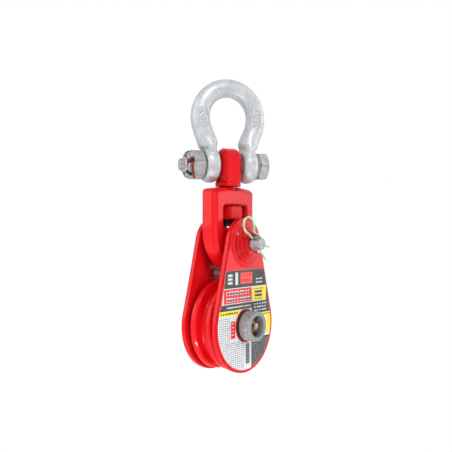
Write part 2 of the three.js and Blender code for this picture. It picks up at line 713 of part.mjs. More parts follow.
add('sheave_bush', washer(AXLE_R + GAP, BUSH_R, -SHEAVE_HALF, SHEAVE_HALF, 0), BRONZE);
add('thrust_washer_front', washer(AXLE_R + GAP, 18, SHEAVE_HALF + GAP, CHEEK_INNER - GAP, 0), BRONZE);
add('thrust_washer_rear', washer(AXLE_R + GAP, 18, GAP - CHEEK_INNER, -SHEAVE_HALF - GAP, 0), BRONZE);
add('centre_pin', centrePin(), TURNED);
add('centre_cup', centreCup(), TURNED);
add('cup_washer', washer(AXLE_R + GAP, 14.2, CHEEK_FACE + GAP, CHEEK_FACE + 2.1, 0), BLACK);
add('grease_nipple', greaseNipple(), BRASS);
add('keeper_bar', keeperBar(), TURNED);

export default group;
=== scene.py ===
import math

import bmesh
import bpy
import numpy as np
from mathutils import Matrix, Vector, noise


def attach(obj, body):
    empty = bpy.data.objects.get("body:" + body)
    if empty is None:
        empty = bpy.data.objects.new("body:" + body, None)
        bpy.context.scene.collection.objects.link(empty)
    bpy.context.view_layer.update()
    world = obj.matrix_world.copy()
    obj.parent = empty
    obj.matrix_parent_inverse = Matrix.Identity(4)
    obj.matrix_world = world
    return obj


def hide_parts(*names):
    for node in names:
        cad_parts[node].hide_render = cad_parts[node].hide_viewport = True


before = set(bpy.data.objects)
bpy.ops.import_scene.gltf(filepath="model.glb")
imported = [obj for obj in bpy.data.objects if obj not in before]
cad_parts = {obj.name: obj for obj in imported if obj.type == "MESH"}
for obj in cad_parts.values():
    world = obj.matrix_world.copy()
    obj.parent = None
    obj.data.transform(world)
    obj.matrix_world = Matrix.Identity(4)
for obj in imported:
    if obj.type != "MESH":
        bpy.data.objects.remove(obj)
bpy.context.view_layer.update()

GAP = 0.3
BORE_GAP = 0.4
BOLT_GAP = 0.45
WELD = 1e-4

# Heights above the axle
CROWN_Z = 213.5
BOLT_Z = 149
YOKE_TOP_Z = 128.9
LATCH_Z = 76
KEEPER_Z = 47.4
LOCK_Z = 103

# Cheeks
CHEEK_FACE = 20.5
CHEEK_INNER = 15
CHEEK_R = 43.8
CHEEK_TOP_R = 24.3
CHEEK_TOP_Z = 75.5
FLANK_SAG = 0.3
BOSS_HEIGHT = 8.7
BOSS_STEPS = [
    (21.4, 0), (20.4, 0.9), (17.7, 1.2), (16.6, 3.0), (14.9, 3.4),
    (14.0, 5.2), (12.4, 5.6), (11.5, 7.6), (10.3, 8.7),
]
OUTER_RING_R = 19.5
REAR_BOSS_RATIO = 0.6
LABEL_TOP = 51.5
KEEPER_TENON_R = 2.9

# Sheave and centre pin
SHEAVE_R = 42
SHEAVE_HALF = 12
TREAD_R = 32
GROOVE_R = 5.3
RIM_LIP = 5.7
AXLE_R = 10
BUSH_R = 13
THRUST_R = 18
SEAL_R = 14.2
PIN_HEAD_R = 14
CUP_R = 13.8
CUP_RECESS_R = 9.9
CUP_START = 2.4
CUP_END = 14.1

# Latch pin and hairpin
LATCH_R = 6.6
SPACER_R = 11.2
LATCH_NECK_R = 5
LATCH_TIP_R = 5.5
LATCH_STEP_W = CHEEK_FACE + 13
LATCH_END_W = CHEEK_FACE + 19
CLIP_W = CHEEK_FACE + 11.5
CLIP_WIRE_R = 0.95
CLIP_SLOPE = math.radians(-43)

# Yoke
YOKE_HALF_W = 30.6
YOKE_HALF_D = 9.1
YOKE_CHAMFER = 3.6
YOKE_HUB_R = 24.4
YOKE_CROWN_DROP = 2.9
WINDOW_HALF = 17.6
WINDOW_TOP = 111.2
WINDOW_BOTTOM = 90.6
WINDOW_CORNER = 3.2

# Swivel eye
LUG_HALF_T = 10.1
LUG_HALF_W = 14
LUG_TOP_R = 16.4
LUG_BEVEL = 4.4
NECK_R = 12.1
SHANK_R = 7.8
SHANK_SPLIT = 113
SHANK_REACH = 19.1
SWIVEL_NUT_HEIGHT = 13
LUG_FOOT_Z = 132.4
SWIVEL_NUT_TURN = math.radians(19.5)
LOCK_TURN = SWIVEL_NUT_TURN - math.radians(60)
LOCK_BORE_R = 2.2

# Shackle
SHACKLE_TURN = math.radians(-30)
BOW_HALF = 28
BOW_STOCK_R = 8.6
BOW_LEG_R = 9.1
EAR_X = 18.6
EAR_HALF_T = 6.6
EAR_R = 16.6
EAR_FACE = EAR_X + EAR_HALF_T
BOLT_R = 8
HEX_AF = 24
BOLT_WASHER_R = 12.9
SCREW_PITCH = 2.0
HEAD_START = EAR_FACE + 3.4
HEAD_END = EAR_FACE + 12.7
NUT_LENGTH = 17.7
NUT_SLOT_HALF = 1.7
NUT_SLOT_DEPTH = 4.9
COTTER_HOLE_R = 1.8
COTTER_X = -EAR_FACE - GAP - 15.6
NUT_TURN = math.radians(-13)

# TO_ROW leads from mm above the axle to the row frame. The others lay a shape that is
# lathed along local X on its own axis of the part.
TO_ROW = Matrix.Translation((0, 0, -CROWN_Z / 1000)) @ Matrix.Scale(0.001, 4)
ALONG_W = Matrix.Rotation(math.radians(-90), 4, "Z")
ALONG_Z = Matrix.Rotation(math.radians(-90), 4, "Y")
ON_SHACKLE = Matrix.Rotation(SHACKLE_TURN, 4, "Z")
ON_BOLT = ON_SHACKLE @ Matrix.Translation((0, 0, BOLT_Z))
ON_NUT = ON_BOLT @ Matrix.Rotation(NUT_TURN, 4, "X")
ON_COTTER = ON_NUT @ Matrix.Translation((COTTER_X, 0, 0))
ON_LATCH = Matrix.Translation((0, 0, LATCH_Z)) @ ALONG_W
ON_KEEPER = Matrix.Translation((0, 0, KEEPER_Z)) @ ALONG_W
ON_LOCK = Matrix.Translation((0, 0, LOCK_Z)) @ Matrix.Rotation(LOCK_TURN, 4, "Z")


# Shapes

def show(name, data):
    """A new object in the scene."""
    thing = bpy.data.objects.new(name, data)
    bpy.context.scene.collection.objects.link(thing)
    return thing


def drawn(verts, edges, faces):
    """Mesh object from points in mm."""
    mesh = bpy.data.meshes.new("blank")
    mesh.from_pydata([tuple(v) for v in verts], edges, faces)
    return show("blank", mesh)


def outward(shape):
    """Faces of a closed mesh turned outwards, after its doubles are merged."""
    work = bmesh.new()
    work.from_mesh(shape.data)
    bmesh.ops.remove_doubles(work, verts=work.verts, dist=WELD)
    bmesh.ops.recalc_face_normals(work, faces=work.faces)
    work.to_mesh(shape.data)
    work.free()
    return shape


def line_mesh(points):
    return drawn(points, [(i, i + 1) for i in range(len(points) - 1)], [])


def skin(rings, joined=False):
    """Surface over rings of equal count. joined closes the last ring onto the first."""
    count = len(rings[0])
    verts = [p for ring in rings for p in ring]
    faces = []
    for k in range(len(rings) if joined else len(rings) - 1):
        a = k * count
        b = (k + 1) % len(rings) * count
        for i in range(count):
            j = (i + 1) % count
            faces.append((a + i, a + j, b + j, b + i))
    if not joined:
        faces.append(tuple(range(count)))
        faces.append(tuple(range(len(verts) - count, len(verts))))
    return outward(drawn(verts, [], faces))


def soften(points, closed=False, steps=4, support=0.15):
    """Rounds each corner (x, y, radius) of a line with an arc."""
    out = []
    count = len(points)
    for i, item in enumerate(points):
        p = Vector(item[:2])
        radius = item[2] if len(item) > 2 else 0
        if not radius or (not closed and i in (0, count - 1)):
            out.append(tuple(p))
            continue
        a = Vector(points[i - 1][:2]) - p
        b = Vector(points[(i + 1) % count][:2]) - p
        room = 0.48 * min(a.length, b.length)
        a.normalize()
        b.normalize()
        half = a.angle(b) / 2
        if half > math.radians(88):
            out.append(tuple(p))
            continue
        reach = min(radius / math.tan(half), room)
        radius = reach * math.tan(half)
        middle = p + (a + b).normalized() * (radius / math.sin(half))
        start = p + a * reach - middle
        end = p + b * reach - middle
        turn = math.pi - 2 * half
        if room - reach > support:
            out.append(tuple(middle + start + a * support))
        for k in range(steps + 1):
            t = k / steps
            mix = (start * math.sin((1 - t) * turn) + end * math.sin(t * turn)) / math.sin(turn)
            out.append(tuple(middle + mix))
        if room - reach > support:
            out.append(tuple(middle + end + b * support))
    return out


def arc(radius, start, end, count, x=0, z=0):
    """Points (x, z) on a circle between two angles in degrees."""
    angles = np.radians(np.linspace(start, end, count))
    return [(x + radius * math.cos(t), z + radius * math.sin(t)) for t in angles]


def lathe(profile, matrix=ALONG_W, segments=96, closed=False, steps=4, pitch=0):
    """Turned shape: profile holds (radius, along[, corner radius]) in mm.

    pitch is the widest step between its rings, or 0 for rings at the profile's points only.
    """
    line = soften(profile, closed, steps)
    if pitch:
        line = refine([*line, line[0]] if closed else line, pitch)
        line = line[:-1] if closed else line
    angles = np.linspace(0, 2 * math.pi, segments, endpoint=False)
    rings = [
        [matrix @ Vector((a, r * math.cos(t), r * math.sin(t))) for t in angles]
        for r, a in line
    ]
    return skin(rings, joined=closed)


def refine(line, pitch):
    """Adds points to a line so that none are further apart than pitch."""
    out = [line[0]]
    for a, b in zip(line, line[1:]):
        a, b = Vector(a), Vector(b)
        parts = max(1, math.ceil((b - a).length / pitch))
        out += [tuple(a.lerp(b, k / parts)) for k in range(1, parts + 1)]
    return out


def threaded(radius, start, end, pitch, depth, matrix):
    """Round bar with a screw thread along its whole length, which fades at both ends."""
    angles = np.linspace(0, 2 * math.pi, 64, endpoint=False)
    rings = []
    for a in np.arange(start, end + 0.01, pitch / 8):
        ease = min(1, (a - start) / pitch + 0.2, (end - a) / pitch + 0.2)
        ring = []
        for t in angles:
            phase = (a / pitch - t / (2 * math.pi)) % 1
            r = radius - depth * (1.2 - 0.2 * ease - min(1, 1.3 * abs(2 * phase - 1)) * ease)
            ring.append(matrix @ Vector((a, r * math.cos(t), r * math.sin(t))))
        rings.append(ring)
    return skin(rings)


def rod(radius, start, end, matrix=ALONG_W, segments=96):
    return lathe([(0, start), (radius, start), (radius, end), (0, end)], matrix, segments)


def bore(radius, matrix=ALONG_W, segments=96):
    """Rod that is long enough to go right through any piece."""
    return rod(radius, -60, 60, matrix, segments)


def washer(inner, outer, start, end, matrix=ALONG_W):
    profile = [(inner, start, 0.25), (outer, start, 0.25), (outer, end, 0.25), (inner, end, 0.25)]
    return lathe(profile, matrix, closed=True, steps=3)


def inset(outline, distance):
    """Moves a smooth closed outline of (x, z) inwards by distance."""
    points = np.asarray(outline, float)
    before = points - np.roll(points, 1, axis=0)
    after = np.roll(points, -1, axis=0) - points
    before /= np.linalg.norm(before, axis=1)[:, None]
    after /= np.linalg.norm(after, axis=1)[:, None]
    along = before + after
    along /= np.linalg.norm(along, axis=1)[:, None]
    spread = np.maximum(np.sum(along * after, axis=1), 0.5)
    inward = np.stack([-along[:, 1], along[:, 0]], axis=1)
    x, z = points.T
    if np.sum(x * np.roll(z, -1) - np.roll(x, -1) * z) < 0:
        inward = -inward
    return points + inward * (distance / spread)[:, None]


def plate(outline, stations):
    """Plate in the cheeks' plane: stations are (w, inset) across its thickness."""
    return skin([[(x, -w, z) for x, z in inset(outline, d)] for w, d in stations])


def rounded_stations(low, high, corner):
    """Stations of a plate whose two rims are rounded."""
    rim = [(0, corner + 0.3)]
    for t in np.linspace(0, math.pi / 2, 6):
        rim.append((corner * (1 - math.cos(t)), corner * (1 - math.sin(t))))
    return [(low + w, d) for w, d in rim] + [(high - w, d) for w, d in reversed(rim)]


def block(low, high):
    """Box between two corners in mm."""
    x, y, z = zip(low, high)
    verts = [(i, j, k) for i in x for j in y for k in z]
    faces = [(0, 1, 3, 2), (4, 6, 7, 5), (0, 4, 5, 1), (2, 3, 7, 6), (0, 2, 6, 4), (1, 5, 7, 3)]
    return outward(drawn(verts, [], faces))


def hexagon(across, start, end, matrix, both=False):
    """Hexagon bar with its corners turned down to a cone at its end, or at both ends."""
    corner = across / math.sqrt(3)
    wide = corner + 1
    narrow = across * 0.475
    rise = (wide - narrow) * math.tan(math.radians(30))
    foot = [(narrow, start), (wide, start + rise)] if both else [(wide, start)]
    profile = [(0, start), *foot, (wide, end - rise), (narrow, end), (0, end)]
    return meet(rod(corner, start, end, matrix, 6), lathe(profile, matrix))


def settle(shape):
    """Puts what the modifiers make into the shape's own mesh."""
    bpy.context.view_layer.update()
    graph = bpy.context.evaluated_depsgraph_get()
    mesh = bpy.data.meshes.new_from_object(shape.evaluated_get(graph))
    shape.modifiers.clear()
    shape.data = mesh
    return shape


def combine(shape, others, operation):
    """Boolean of the shape with the others, which it uses up."""
    for other in others:
        step = shape.modifiers.new("combine", "BOOLEAN")
        step.operation = operation
        step.solver = "MANIFOLD"
        step.object = other
    settle(shape)
    for other in others:
        bpy.data.objects.remove(other)
    return shape


def join(shape, *others):
    return combine(shape, others, "UNION")


def cut(shape, *others):
    return combine(shape, others, "DIFFERENCE")


def meet(shape, *others):
    return combine(shape, others, "INTERSECT")


def forge(shape, grain, rounds):
    """Gives a shape the soft edges and blended corners of a forging."""
    weld = shape.modifiers.new("even", "REMESH")
    weld.mode = "VOXEL"
    weld.voxel_size = grain
    weld.use_smooth_shade = True
    ease = shape.modifiers.new("ease", "SMOOTH")
    ease.factor = 0.5
    ease.iterations = rounds
    return settle(shape)


def roughen(shape, size, depth, where=None):
    """Moves the skin in and out by depth, in lumps of the given size, as on a rough forging."""
    mesh = shape.data
    points = read_all(mesh.vertices, "co")
    normals = read_all(mesh.vertices, "normal")
    weight = np.ones(len(points)) if where is None else where(points)
    for i in np.nonzero(weight > 0.01)[0]:
        lump = noise.noise(Vector(points[i] / size)) + 0.5 * noise.noise(Vector(points[i] * 2.3 / size))
        points[i] += normals[i] * (depth * weight[i] * lump)
    mesh.vertices.foreach_set("co", points.ravel())
    mesh.update()
    return shape


def read_all(items, name, width=3, kind=float):
    values = np.empty(len(items) * width, kind)
    items.foreach_get(name, values)
    return values.reshape(-1, width)


def mark(shape, name, values):
    """Keeps a value for each point of the mesh, for its finish to read."""
    layer = shape.data.attributes.new(name, "FLOAT", "POINT")
    layer.data.foreach_set("value", values)
    return shape


def mark_edges(shape):
    """Stores how sharply the skin bends near each point, for the painted shade on the arrises."""
    mesh = shape.data
    mean = read_all(mesh.vertices, "normal")
    ends = read_all(mesh.edges, "vertices", 2, np.int32)
    count = len(mean)
    share = np.bincount(ends.ravel(), minlength=count) + 1
    for _ in range(4):
        total = mean.copy()
        for k in range(3):
            total[:, k] += np.bincount(ends[:, 0], mean[ends[:, 1], k], count)
            total[:, k] += np.bincount(ends[:, 1], mean[ends[:, 0], k], count)
        mean = total / share[:, None]
    bend = np.sqrt(np.clip(1 - np.linalg.norm(mean, axis=1), 0, 1))
    mark(shape, "edge", np.clip(5.5 * bend - 0.26, 0, 1))


def smooth_line(stations, count):
    """Even points on a smooth curve through the stations, by centripetal interpolation."""
    points = np.asarray(stations, float)
    ends = [2 * points[0] - points[1], *points, 2 * points[-1] - points[-2]]
    dense = []
    for p0, p1, p2, p3 in zip(ends, ends[1:], ends[2:], ends[3:]):
        spans = (p1 - p0, p2 - p1, p3 - p2)
        d0, d1, d2 = (max(math.sqrt(np.linalg.norm(span)), 1e-4) for span in spans)
        t1 = ((p1 - p0) / d0 - (p2 - p0) / (d0 + d1) + (p2 - p1) / d1) * d1
        t2 = ((p2 - p1) / d1 - (p3 - p1) / (d1 + d2) + (p3 - p2) / d2) * d1
        square = 3 * (p2 - p1) - 2 * t1 - t2
        cube = 2 * (p1 - p2) + t1 + t2
        for t in np.arange(0, 1, 0.05):
            dense.append(p1 + t1 * t + square * t**2 + cube * t**3)
    dense.append(points[-1])
    dense = np.array(dense)
    length = np.concatenate([[0], np.cumsum(np.linalg.norm(np.diff(dense, axis=0), axis=1))])
    even = np.linspace(0, length[-1], count)
    return np.stack([np.interp(even, length, dense[:, k]) for k in range(3)], axis=1)


# Node trees

class Wiring:
    """Builds a node tree step by step."""

    def __init__(self, tree):
        self.tree = tree

    def link(self, value, node, key):
        self.tree.links.new(value, node.inputs[key])

    def add(self, kind, wires=None, **settings):
        """A new node. wires holds a socket or a plain value for each of its inputs."""
        node = self.tree.nodes.new(kind)
        for key, value in settings.items():
            setattr(node, key, value)
        for key, value in (wires or {}).items():
            if isinstance(value, bpy.types.NodeSocket):
                self.link(value, node, key)
            else:
                node.inputs[key].default_value = value
        return node

    def math(self, operation, a, b=0.0):
        return self.add("ShaderNodeMath", {0: a, 1: b}, operation=operation).outputs[0]

    def product(self, a, b):
        return self.math("MULTIPLY", a, b)


class Tree(Wiring):
    """A Geometry Nodes tree with named inputs."""

    def __init__(self, name):
        super().__init__(bpy.data.node_groups.new(name, "GeometryNodeTree"))
        self.entry = self.tree.nodes.new("NodeGroupInput")
        self.exit = self.tree.nodes.new("NodeGroupOutput")
        for way in ("INPUT", "OUTPUT"):
            self.tree.interface.new_socket("Geometry", in_out=way, socket_type="NodeSocketGeometry")

    def input(self, name, kind, value=None):
        socket = self.tree.interface.new_socket(name, in_out="INPUT", socket_type="NodeSocket" + kind)
        if value is not None:
            socket.default_value = value
        return self.entry.outputs[name]

    def vector(self, **wires):
        return self.add("ShaderNodeCombineXYZ", wires).outputs["Vector"]

    def ease(self, value, start, stop, low, high):
        """Goes smoothly from low to high as value passes from start to stop."""
        wires = {"Value": value, "From Min": start, "From Max": stop}
        share = self.add("ShaderNodeMapRange", wires, interpolation_type="SMOOTHSTEP").outputs["Result"]
        wires = {"Value": share, "To Min": low, "To Max": high}
        return self.add("ShaderNodeMapRange", wires).outputs["Result"]

    def finish(self, geometry, finish):
        real = self.add("GeometryNodeRealizeInstances", {"Geometry": geometry}).outputs["Geometry"]
        done = self.add("GeometryNodeSetMaterial", {"Geometry": real, "Material": finish})
        self.link(done.outputs["Geometry"], self.exit, "Geometry")
        return self.tree


def bar_tree():
    """Round bar along a line: a little stouter in its legs, and flattened and widened at both ends."""
    t = Tree("drawn_bar")
    names = ("Middle radius", "Leg radius", "End radius", "End width")
    middle, leg, end, width = [t.input(name, "Float", 1.0) for name in names]
    sides = t.input("Sides", "Int", 24)
    finish = t.input("Finish", "Material")
    line = t.add("GeometryNodeMeshToCurve", {"Mesh": t.entry.outputs["Geometry"]}).outputs["Curve"]
    share = t.add("GeometryNodeSplineParameter").outputs["Factor"]
    near = t.math("MINIMUM", share, t.math("SUBTRACT", 1.0, share))
    stock = t.ease(near, 0.12, 0.45, leg, middle)
    thin = t.ease(near, 0.07, 0.10, end, stock)
    wide = t.ease(near, 0.06, 0.17, width, stock)
    keep = t.add("GeometryNodeCaptureAttribute", {"Geometry": line})
    keep.capture_items.new("FLOAT", "Ratio")
    t.link(t.math("DIVIDE", wide, thin), keep, "Ratio")
    ring = t.add("GeometryNodeCurvePrimitiveCircle", {"Resolution": sides, "Radius": 1.0})
    body = t.add("GeometryNodeCurveToMesh", {
        "Curve": keep.outputs["Geometry"], "Profile Curve": ring.outputs["Curve"], "Scale": thin,
        "Fill Caps": True,
    })
    position = t.add("GeometryNodeInputPosition").outputs["Position"]
    x, y, z = t.add("ShaderNodeSeparateXYZ", {"Vector": position}).outputs
    stretched = t.vector(X=x, Y=t.product(y, keep.outputs["Ratio"]), Z=z)
    moved = t.add("GeometryNodeSetPosition", {"Geometry": body.outputs["Mesh"], "Position": stretched})
    return t.finish(moved.outputs["Geometry"], finish)


def rows_tree():
    """Lines of small print: rows of short bars of uneven length."""
    t = Tree("printed_rows")
    rows = t.input("Rows", "Int", 5)
    columns = t.input("Columns", "Int", 5)
    pitch = t.input("Row pitch", "Float", 3.0)
    step = t.input("Column pitch", "Float", 4.0)
    height = t.input("Bar height", "Float", 1.0)
    depth = t.input("Bar depth", "Float", 0.1)
    seed = t.input("Seed", "Int", 1)
    finish = t.input("Finish", "Material")
    wide = t.product(t.math("SUBTRACT", columns, 1.0), step)
    tall = t.product(t.math("SUBTRACT", rows, 1.0), pitch)
    grid = t.add("GeometryNodeMeshGrid", {
        "Size X": wide, "Size Y": tall, "Vertices X": columns, "Vertices Y": rows,
    }).outputs["Mesh"]
    corner = t.vector(X=t.product(wide, 0.5), Z=t.product(tall, -0.5))
    stood = t.add("GeometryNodeTransform", {
        "Geometry": grid, "Rotation": (math.pi / 2, 0, 0), "Translation": corner,
    }).outputs["Geometry"]
    bar = t.add("GeometryNodeMeshCube", {"Size": t.vector(X=1.0, Y=depth, Z=height)}).outputs["Mesh"]
    aside = t.add("GeometryNodeTransform", {"Geometry": bar, "Translation": (0.5, 0, 0)}).outputs["Geometry"]
    share = t.add("FunctionNodeRandomValue", {"Seed": seed, 2: 0.45, 3: 0.92}, data_type="FLOAT")
    scale = t.vector(X=t.product(share.outputs[1], step), Y=1.0, Z=1.0)
    bars = t.add("GeometryNodeInstanceOnPoints", {"Points": stood, "Instance": aside, "Scale": scale})
    return t.finish(bars.outputs["Instances"], finish)


def round_tree():
    """Copies of a shape set evenly round the local X axis."""
    t = Tree("set_round")
    count = t.input("Count", "Int", 3)
    spread = t.input("Spread", "Float", math.pi)
    finish = t.input("Finish", "Material")
    line = t.add("GeometryNodeMeshLine", {"Count": count, "Offset": (0, 0, 0)}).outputs["Mesh"]
    index = t.add("GeometryNodeInputIndex").outputs["Index"]
    turn = t.vector(X=t.math("DIVIDE", t.product(index, spread), count))
    copies = t.add("GeometryNodeInstanceOnPoints", {
        "Points": line, "Instance": t.entry.outputs["Geometry"], "Rotation": turn,
    })
    return t.finish(copies.outputs["Instances"], finish)


def grow(shape, tree, **values):
    """Runs a tree on the shape with the given inputs and keeps the plain mesh."""
    step = shape.modifiers.new("grow", "NODES")
    step.node_group = tree
    for item in tree.interface.items_tree:
        key = item.name.replace(" ", "_")
        if item.in_out == "INPUT" and key in values:
            step[item.identifier] = values[key]
    return settle(shape)


def wire(stations, radius, count, finish, sides=20):
    """Plain wire of one radius through the stations."""
    bar = grow(line_mesh(smooth_line(stations, count)), BAR, Middle_radius=radius, Leg_radius=radius,
               End_radius=radius, End_width=radius, Sides=sides, Finish=finish)
    return outward(bar)


# Finishes

def srgb(red, green, blue):
    """Linear colour of an 8-bit one."""
    out = []
    for value in (red, green, blue):
        c = value / 255
        out.append(c / 12.92 if c <= 0.04045 else ((c + 0.055) / 1.055) ** 2.4)
    return (*out, 1.0)


class Finish(Wiring):
    """A material whose colour, roughness and bump come from patterns in the piece's own space."""

    def __init__(self, name, metallic=0.0, coat=0.0, coat_roughness=0.1, specular=0.5):
        self.material = bpy.data.materials.new(name)
        self.material.use_nodes = True
        super().__init__(self.material.node_tree)
        self.tree.nodes.clear()
        self.surface = self.add("ShaderNodeBsdfPrincipled", {
            "Metallic": metallic, "Coat Weight": coat, "Coat Roughness": coat_roughness,
            "Specular IOR Level": specular,
        })
        self.out = self.add("ShaderNodeOutputMaterial", {"Surface": self.surface.outputs["BSDF"]})
        self.space = self.add("ShaderNodeTexCoord").outputs["Object"]
        self.normal = None

    def grain(self, size, detail=3.0, rough=0.55, space=None):
        """Noise with lumps of about the given size in mm."""
        wires = {"Vector": space or self.space, "Scale": 1000 / size, "Detail": detail, "Roughness": rough}
        return self.add("ShaderNodeTexNoise", wires).outputs["Fac"]

    def span(self, value, low, high, start=0.3, stop=0.7):
        """Goes evenly from low to high as value passes from start to stop."""
        wires = {"Value": value, "From Min": start, "From Max": stop, "To Min": low, "To Max": high}
        return self.add("ShaderNodeMapRange", wires).outputs["Result"]

    def shades(self, value, stops):
        """Colour ramp through (place, colour) stops."""
        node = self.add("ShaderNodeValToRGB", {"Fac": value})
        ramp = node.color_ramp
        while len(ramp.elements) < len(stops):
            ramp.elements.new(0.5)
        for element, (place, colour) in zip(ramp.elements, stops):
            element.position = place
            element.color = colour
        return node.outputs["Color"]

    def kept(self, name):
        """A value that mark() stored in the piece's mesh."""
        return self.add("ShaderNodeAttribute", attribute_name=name).outputs["Fac"]

    def hollow(self, reach):
        """Mask for painted shade: 1 deep in a hollow or gap, 0 out in the open. reach is in mm."""
        node = self.add("ShaderNodeAmbientOcclusion", {"Distance": reach / 1000}, samples=6)
        return self.span(node.outputs["AO"], 1.0, 0.0, 0.15, 0.85)

    def along(self, axis):
        """The place along x, y or z in mm, in the row frame."""
        spot = self.add("ShaderNodeSeparateXYZ", {0: self.space}).outputs[axis]
        return self.product(spot, 1000.0)

    def times(self, colour, value):
        return self.add("ShaderNodeVectorMath", {0: colour, 1: value}, operation="MULTIPLY").outputs[0]

    def blend(self, share, a, b):
        """Colour a at share 0 and b at share 1."""
        return self.add("ShaderNodeMix", {0: share, 6: a, 7: b}, data_type="RGBA").outputs[2]

    def colour(self, value):
        self.link(value, self.surface, "Base Color")

    def roughness(self, value):
        self.link(value, self.surface, "Roughness")

    def bump(self, height, depth, strength):
        """Adds relief of the given depth in mm."""
        wires = {"Height": height, "Distance": depth / 1000, "Strength": strength}
        if self.normal:
            wires["Normal"] = self.normal
        self.normal = self.add("ShaderNodeBump", wires).outputs["Normal"]
        self.link(self.normal, self.surface, "Normal")


def red_paint():
    """Enamel with painted shade: deeper red on arrises and in hollows, and without gloss there."""
    f = Finish("red_paint", coat_roughness=0.07, specular=0.07)
    cast = f.kept("cast")
    bevel = f.kept("bevel")
    tone = f.shades(f.grain(24), [(0.3, (0.74, 0.004, 0.009, 1)), (0.7, (0.80, 0.008, 0.013, 1))])
    mottle = f.span(f.grain(1.3, 2.0), 0.88, 1.07)
    fleck = f.product(cast, f.span(f.grain(1.2, 2.0, 0.6), 0, 1, 0.44, 0.6))
    # Painted shade and dark reflection: deeper red on sharply bent arrises (less where even_coat is set), on
    # the lug's bevel facets, and darkest on the boss's left risers.
    bend = f.product(f.kept("edge"), f.span(f.kept("even_coat"), 1.0, 0.25, 0.0, 1.0))
    edge = f.math("MAXIMUM", bend, f.product(bevel, 0.7))
    tone = f.blend(edge, f.times(tone, mottle), (0.50, 0.0002, 0.004, 1))
    tone = f.blend(f.product(fleck, 0.3), tone, (0.62, 0.001, 0.006, 1))
    tone = f.blend(f.span(bevel, 0.0, 0.85, 1.0, 1.5), tone, (0.42, 0.0, 0.003, 1))
    # Painted shade: the occlusion mask darkens the red in hollows and gaps and takes the gloss away there.
    inside = f.hollow(13)
    f.colour(f.blend(f.product(inside, 0.65), tone, (0.40, 0.0, 0.001, 1)))
    f.roughness(f.span(f.grain(4), 0.26, 0.40))
    gloss = f.span(f.math("MAXIMUM", edge, f.product(fleck, 0.5)), 0.32, 0.18, 0.0, 1.0)
    gloss = f.product(gloss, f.span(inside, 1.0, 0.15, 0.0, 1.0))
    f.link(gloss, f.surface, "Coat Weight")
    f.bump(f.grain(2.8, 2.0), 0.09, 0.5)
    f.bump(f.grain(0.8, 1.0), 0.014, 0.6)
    f.bump(f.product(f.grain(1.2, 2.0), cast), 0.22, 0.7)
    return f.material


def galvanised():
    """Hot-dip zinc: light grey with a fine speckle, dull patches and small pits."""
    f = Finish("galvanised", metallic=0.35, specular=0.4)
    tone = f.shades(f.grain(1.0, 3.0, 0.6), [
        (0.30, (0.34, 0.355, 0.375, 1)), (0.44, (0.53, 0.55, 0.565, 1)), (0.68, (0.67, 0.69, 0.71, 1)),
    ])
    tone = f.times(tone, f.span(f.grain(11, 4.0, 0.6), 0.84, 1.08))
    cast = f.kept("pits")
    fresh = f.product(f.span(f.grain(1.5, 1.0), 0.0, 0.75, 0.54, 0.62), cast)
    pits = f.math("MAXIMUM", f.span(f.grain(1.7, 1.0), 0, 0.55, 0.66, 0.74), fresh)
    tone = f.blend(pits, tone, (0.26, 0.27, 0.30, 1))
    # Painted shade: a little darker in tight corners and gaps.
    f.colour(f.blend(f.product(f.hollow(3), 0.3), tone, (0.12, 0.12, 0.13, 1)))
    f.surface.inputs["Specular Tint"].default_value = (0.45, 0.46, 0.48, 1)
    f.roughness(f.span(f.grain(5, 4.0), 0.56, 0.34))
    f.bump(f.grain(4.5, 4.0), 0.18, 0.6)
    f.bump(f.grain(0.9, 2.0), 0.035, 0.6)
    f.bump(f.product(f.grain(1.5, 1.0), cast), 0.5, 0.8)
    return f.material


def zinc(name, light, dark, rough=0.42, metallic=0.45, corner_shade=0.9):
    """Plated steel with a dull bloom, and painted shade on its arrises and in its corners and gaps."""
    f = Finish(name, metallic=metallic, specular=0.4)
    tone = f.shades(f.grain(5, 4.0, 0.6), [(0.32, dark), (0.68, light)])
    tone = f.times(tone, f.span(f.grain(0.9, 2.0), 0.82, 1.1))
    # Painted shade: darker on sharply bent arrises, and, by corner_shade, darker in corners and gaps.
    tone = f.times(tone, f.span(f.kept("edge"), 1.0, 0.55, 0.1, 0.8))
    f.colour(f.blend(f.product(f.hollow(5), corner_shade), tone, (0.05, 0.05, 0.05, 1)))
    f.roughness(f.span(f.grain(1.8, 3.0), rough - 0.07, rough + 0.08))
    f.bump(f.grain(1.6, 3.0), 0.05, 0.6)
    return f.material


def turned(name, light, dark, rough=0.42):
    """Metal with fine rings left by the lathe, about the axle."""
    f = Finish(name, metallic=0.85)
    spot = f.add("ShaderNodeVectorMath", {0: f.space, 1: (0, 0, CROWN_Z / 1000)}, operation="ADD").outputs[0]
    flat = f.times(spot, (1, 0, 1))
    radius = f.add("ShaderNodeVectorMath", {0: flat}, operation="LENGTH").outputs["Value"]
    along = f.add("ShaderNodeSeparateXYZ", {0: spot}).outputs["Y"]
    ringed = f.add("ShaderNodeCombineXYZ", {0: radius, 1: along}).outputs[0]
    rings = f.grain(0.35, 2.0, space=ringed)
    tone = f.shades(f.grain(6, 4.0), [(0.3, dark), (0.7, light)])
    tone = f.blend(f.span(rings, 0.0, 0.35), tone, dark)
    # Painted shade: near black in corners and gaps.
    f.colour(f.blend(f.product(f.hollow(6), 0.85), tone, (0.04, 0.035, 0.03, 1)))
    f.roughness(f.span(rings, rough - 0.06, rough + 0.12))
    f.bump(rings, 0.02, 0.6)
    return f.material


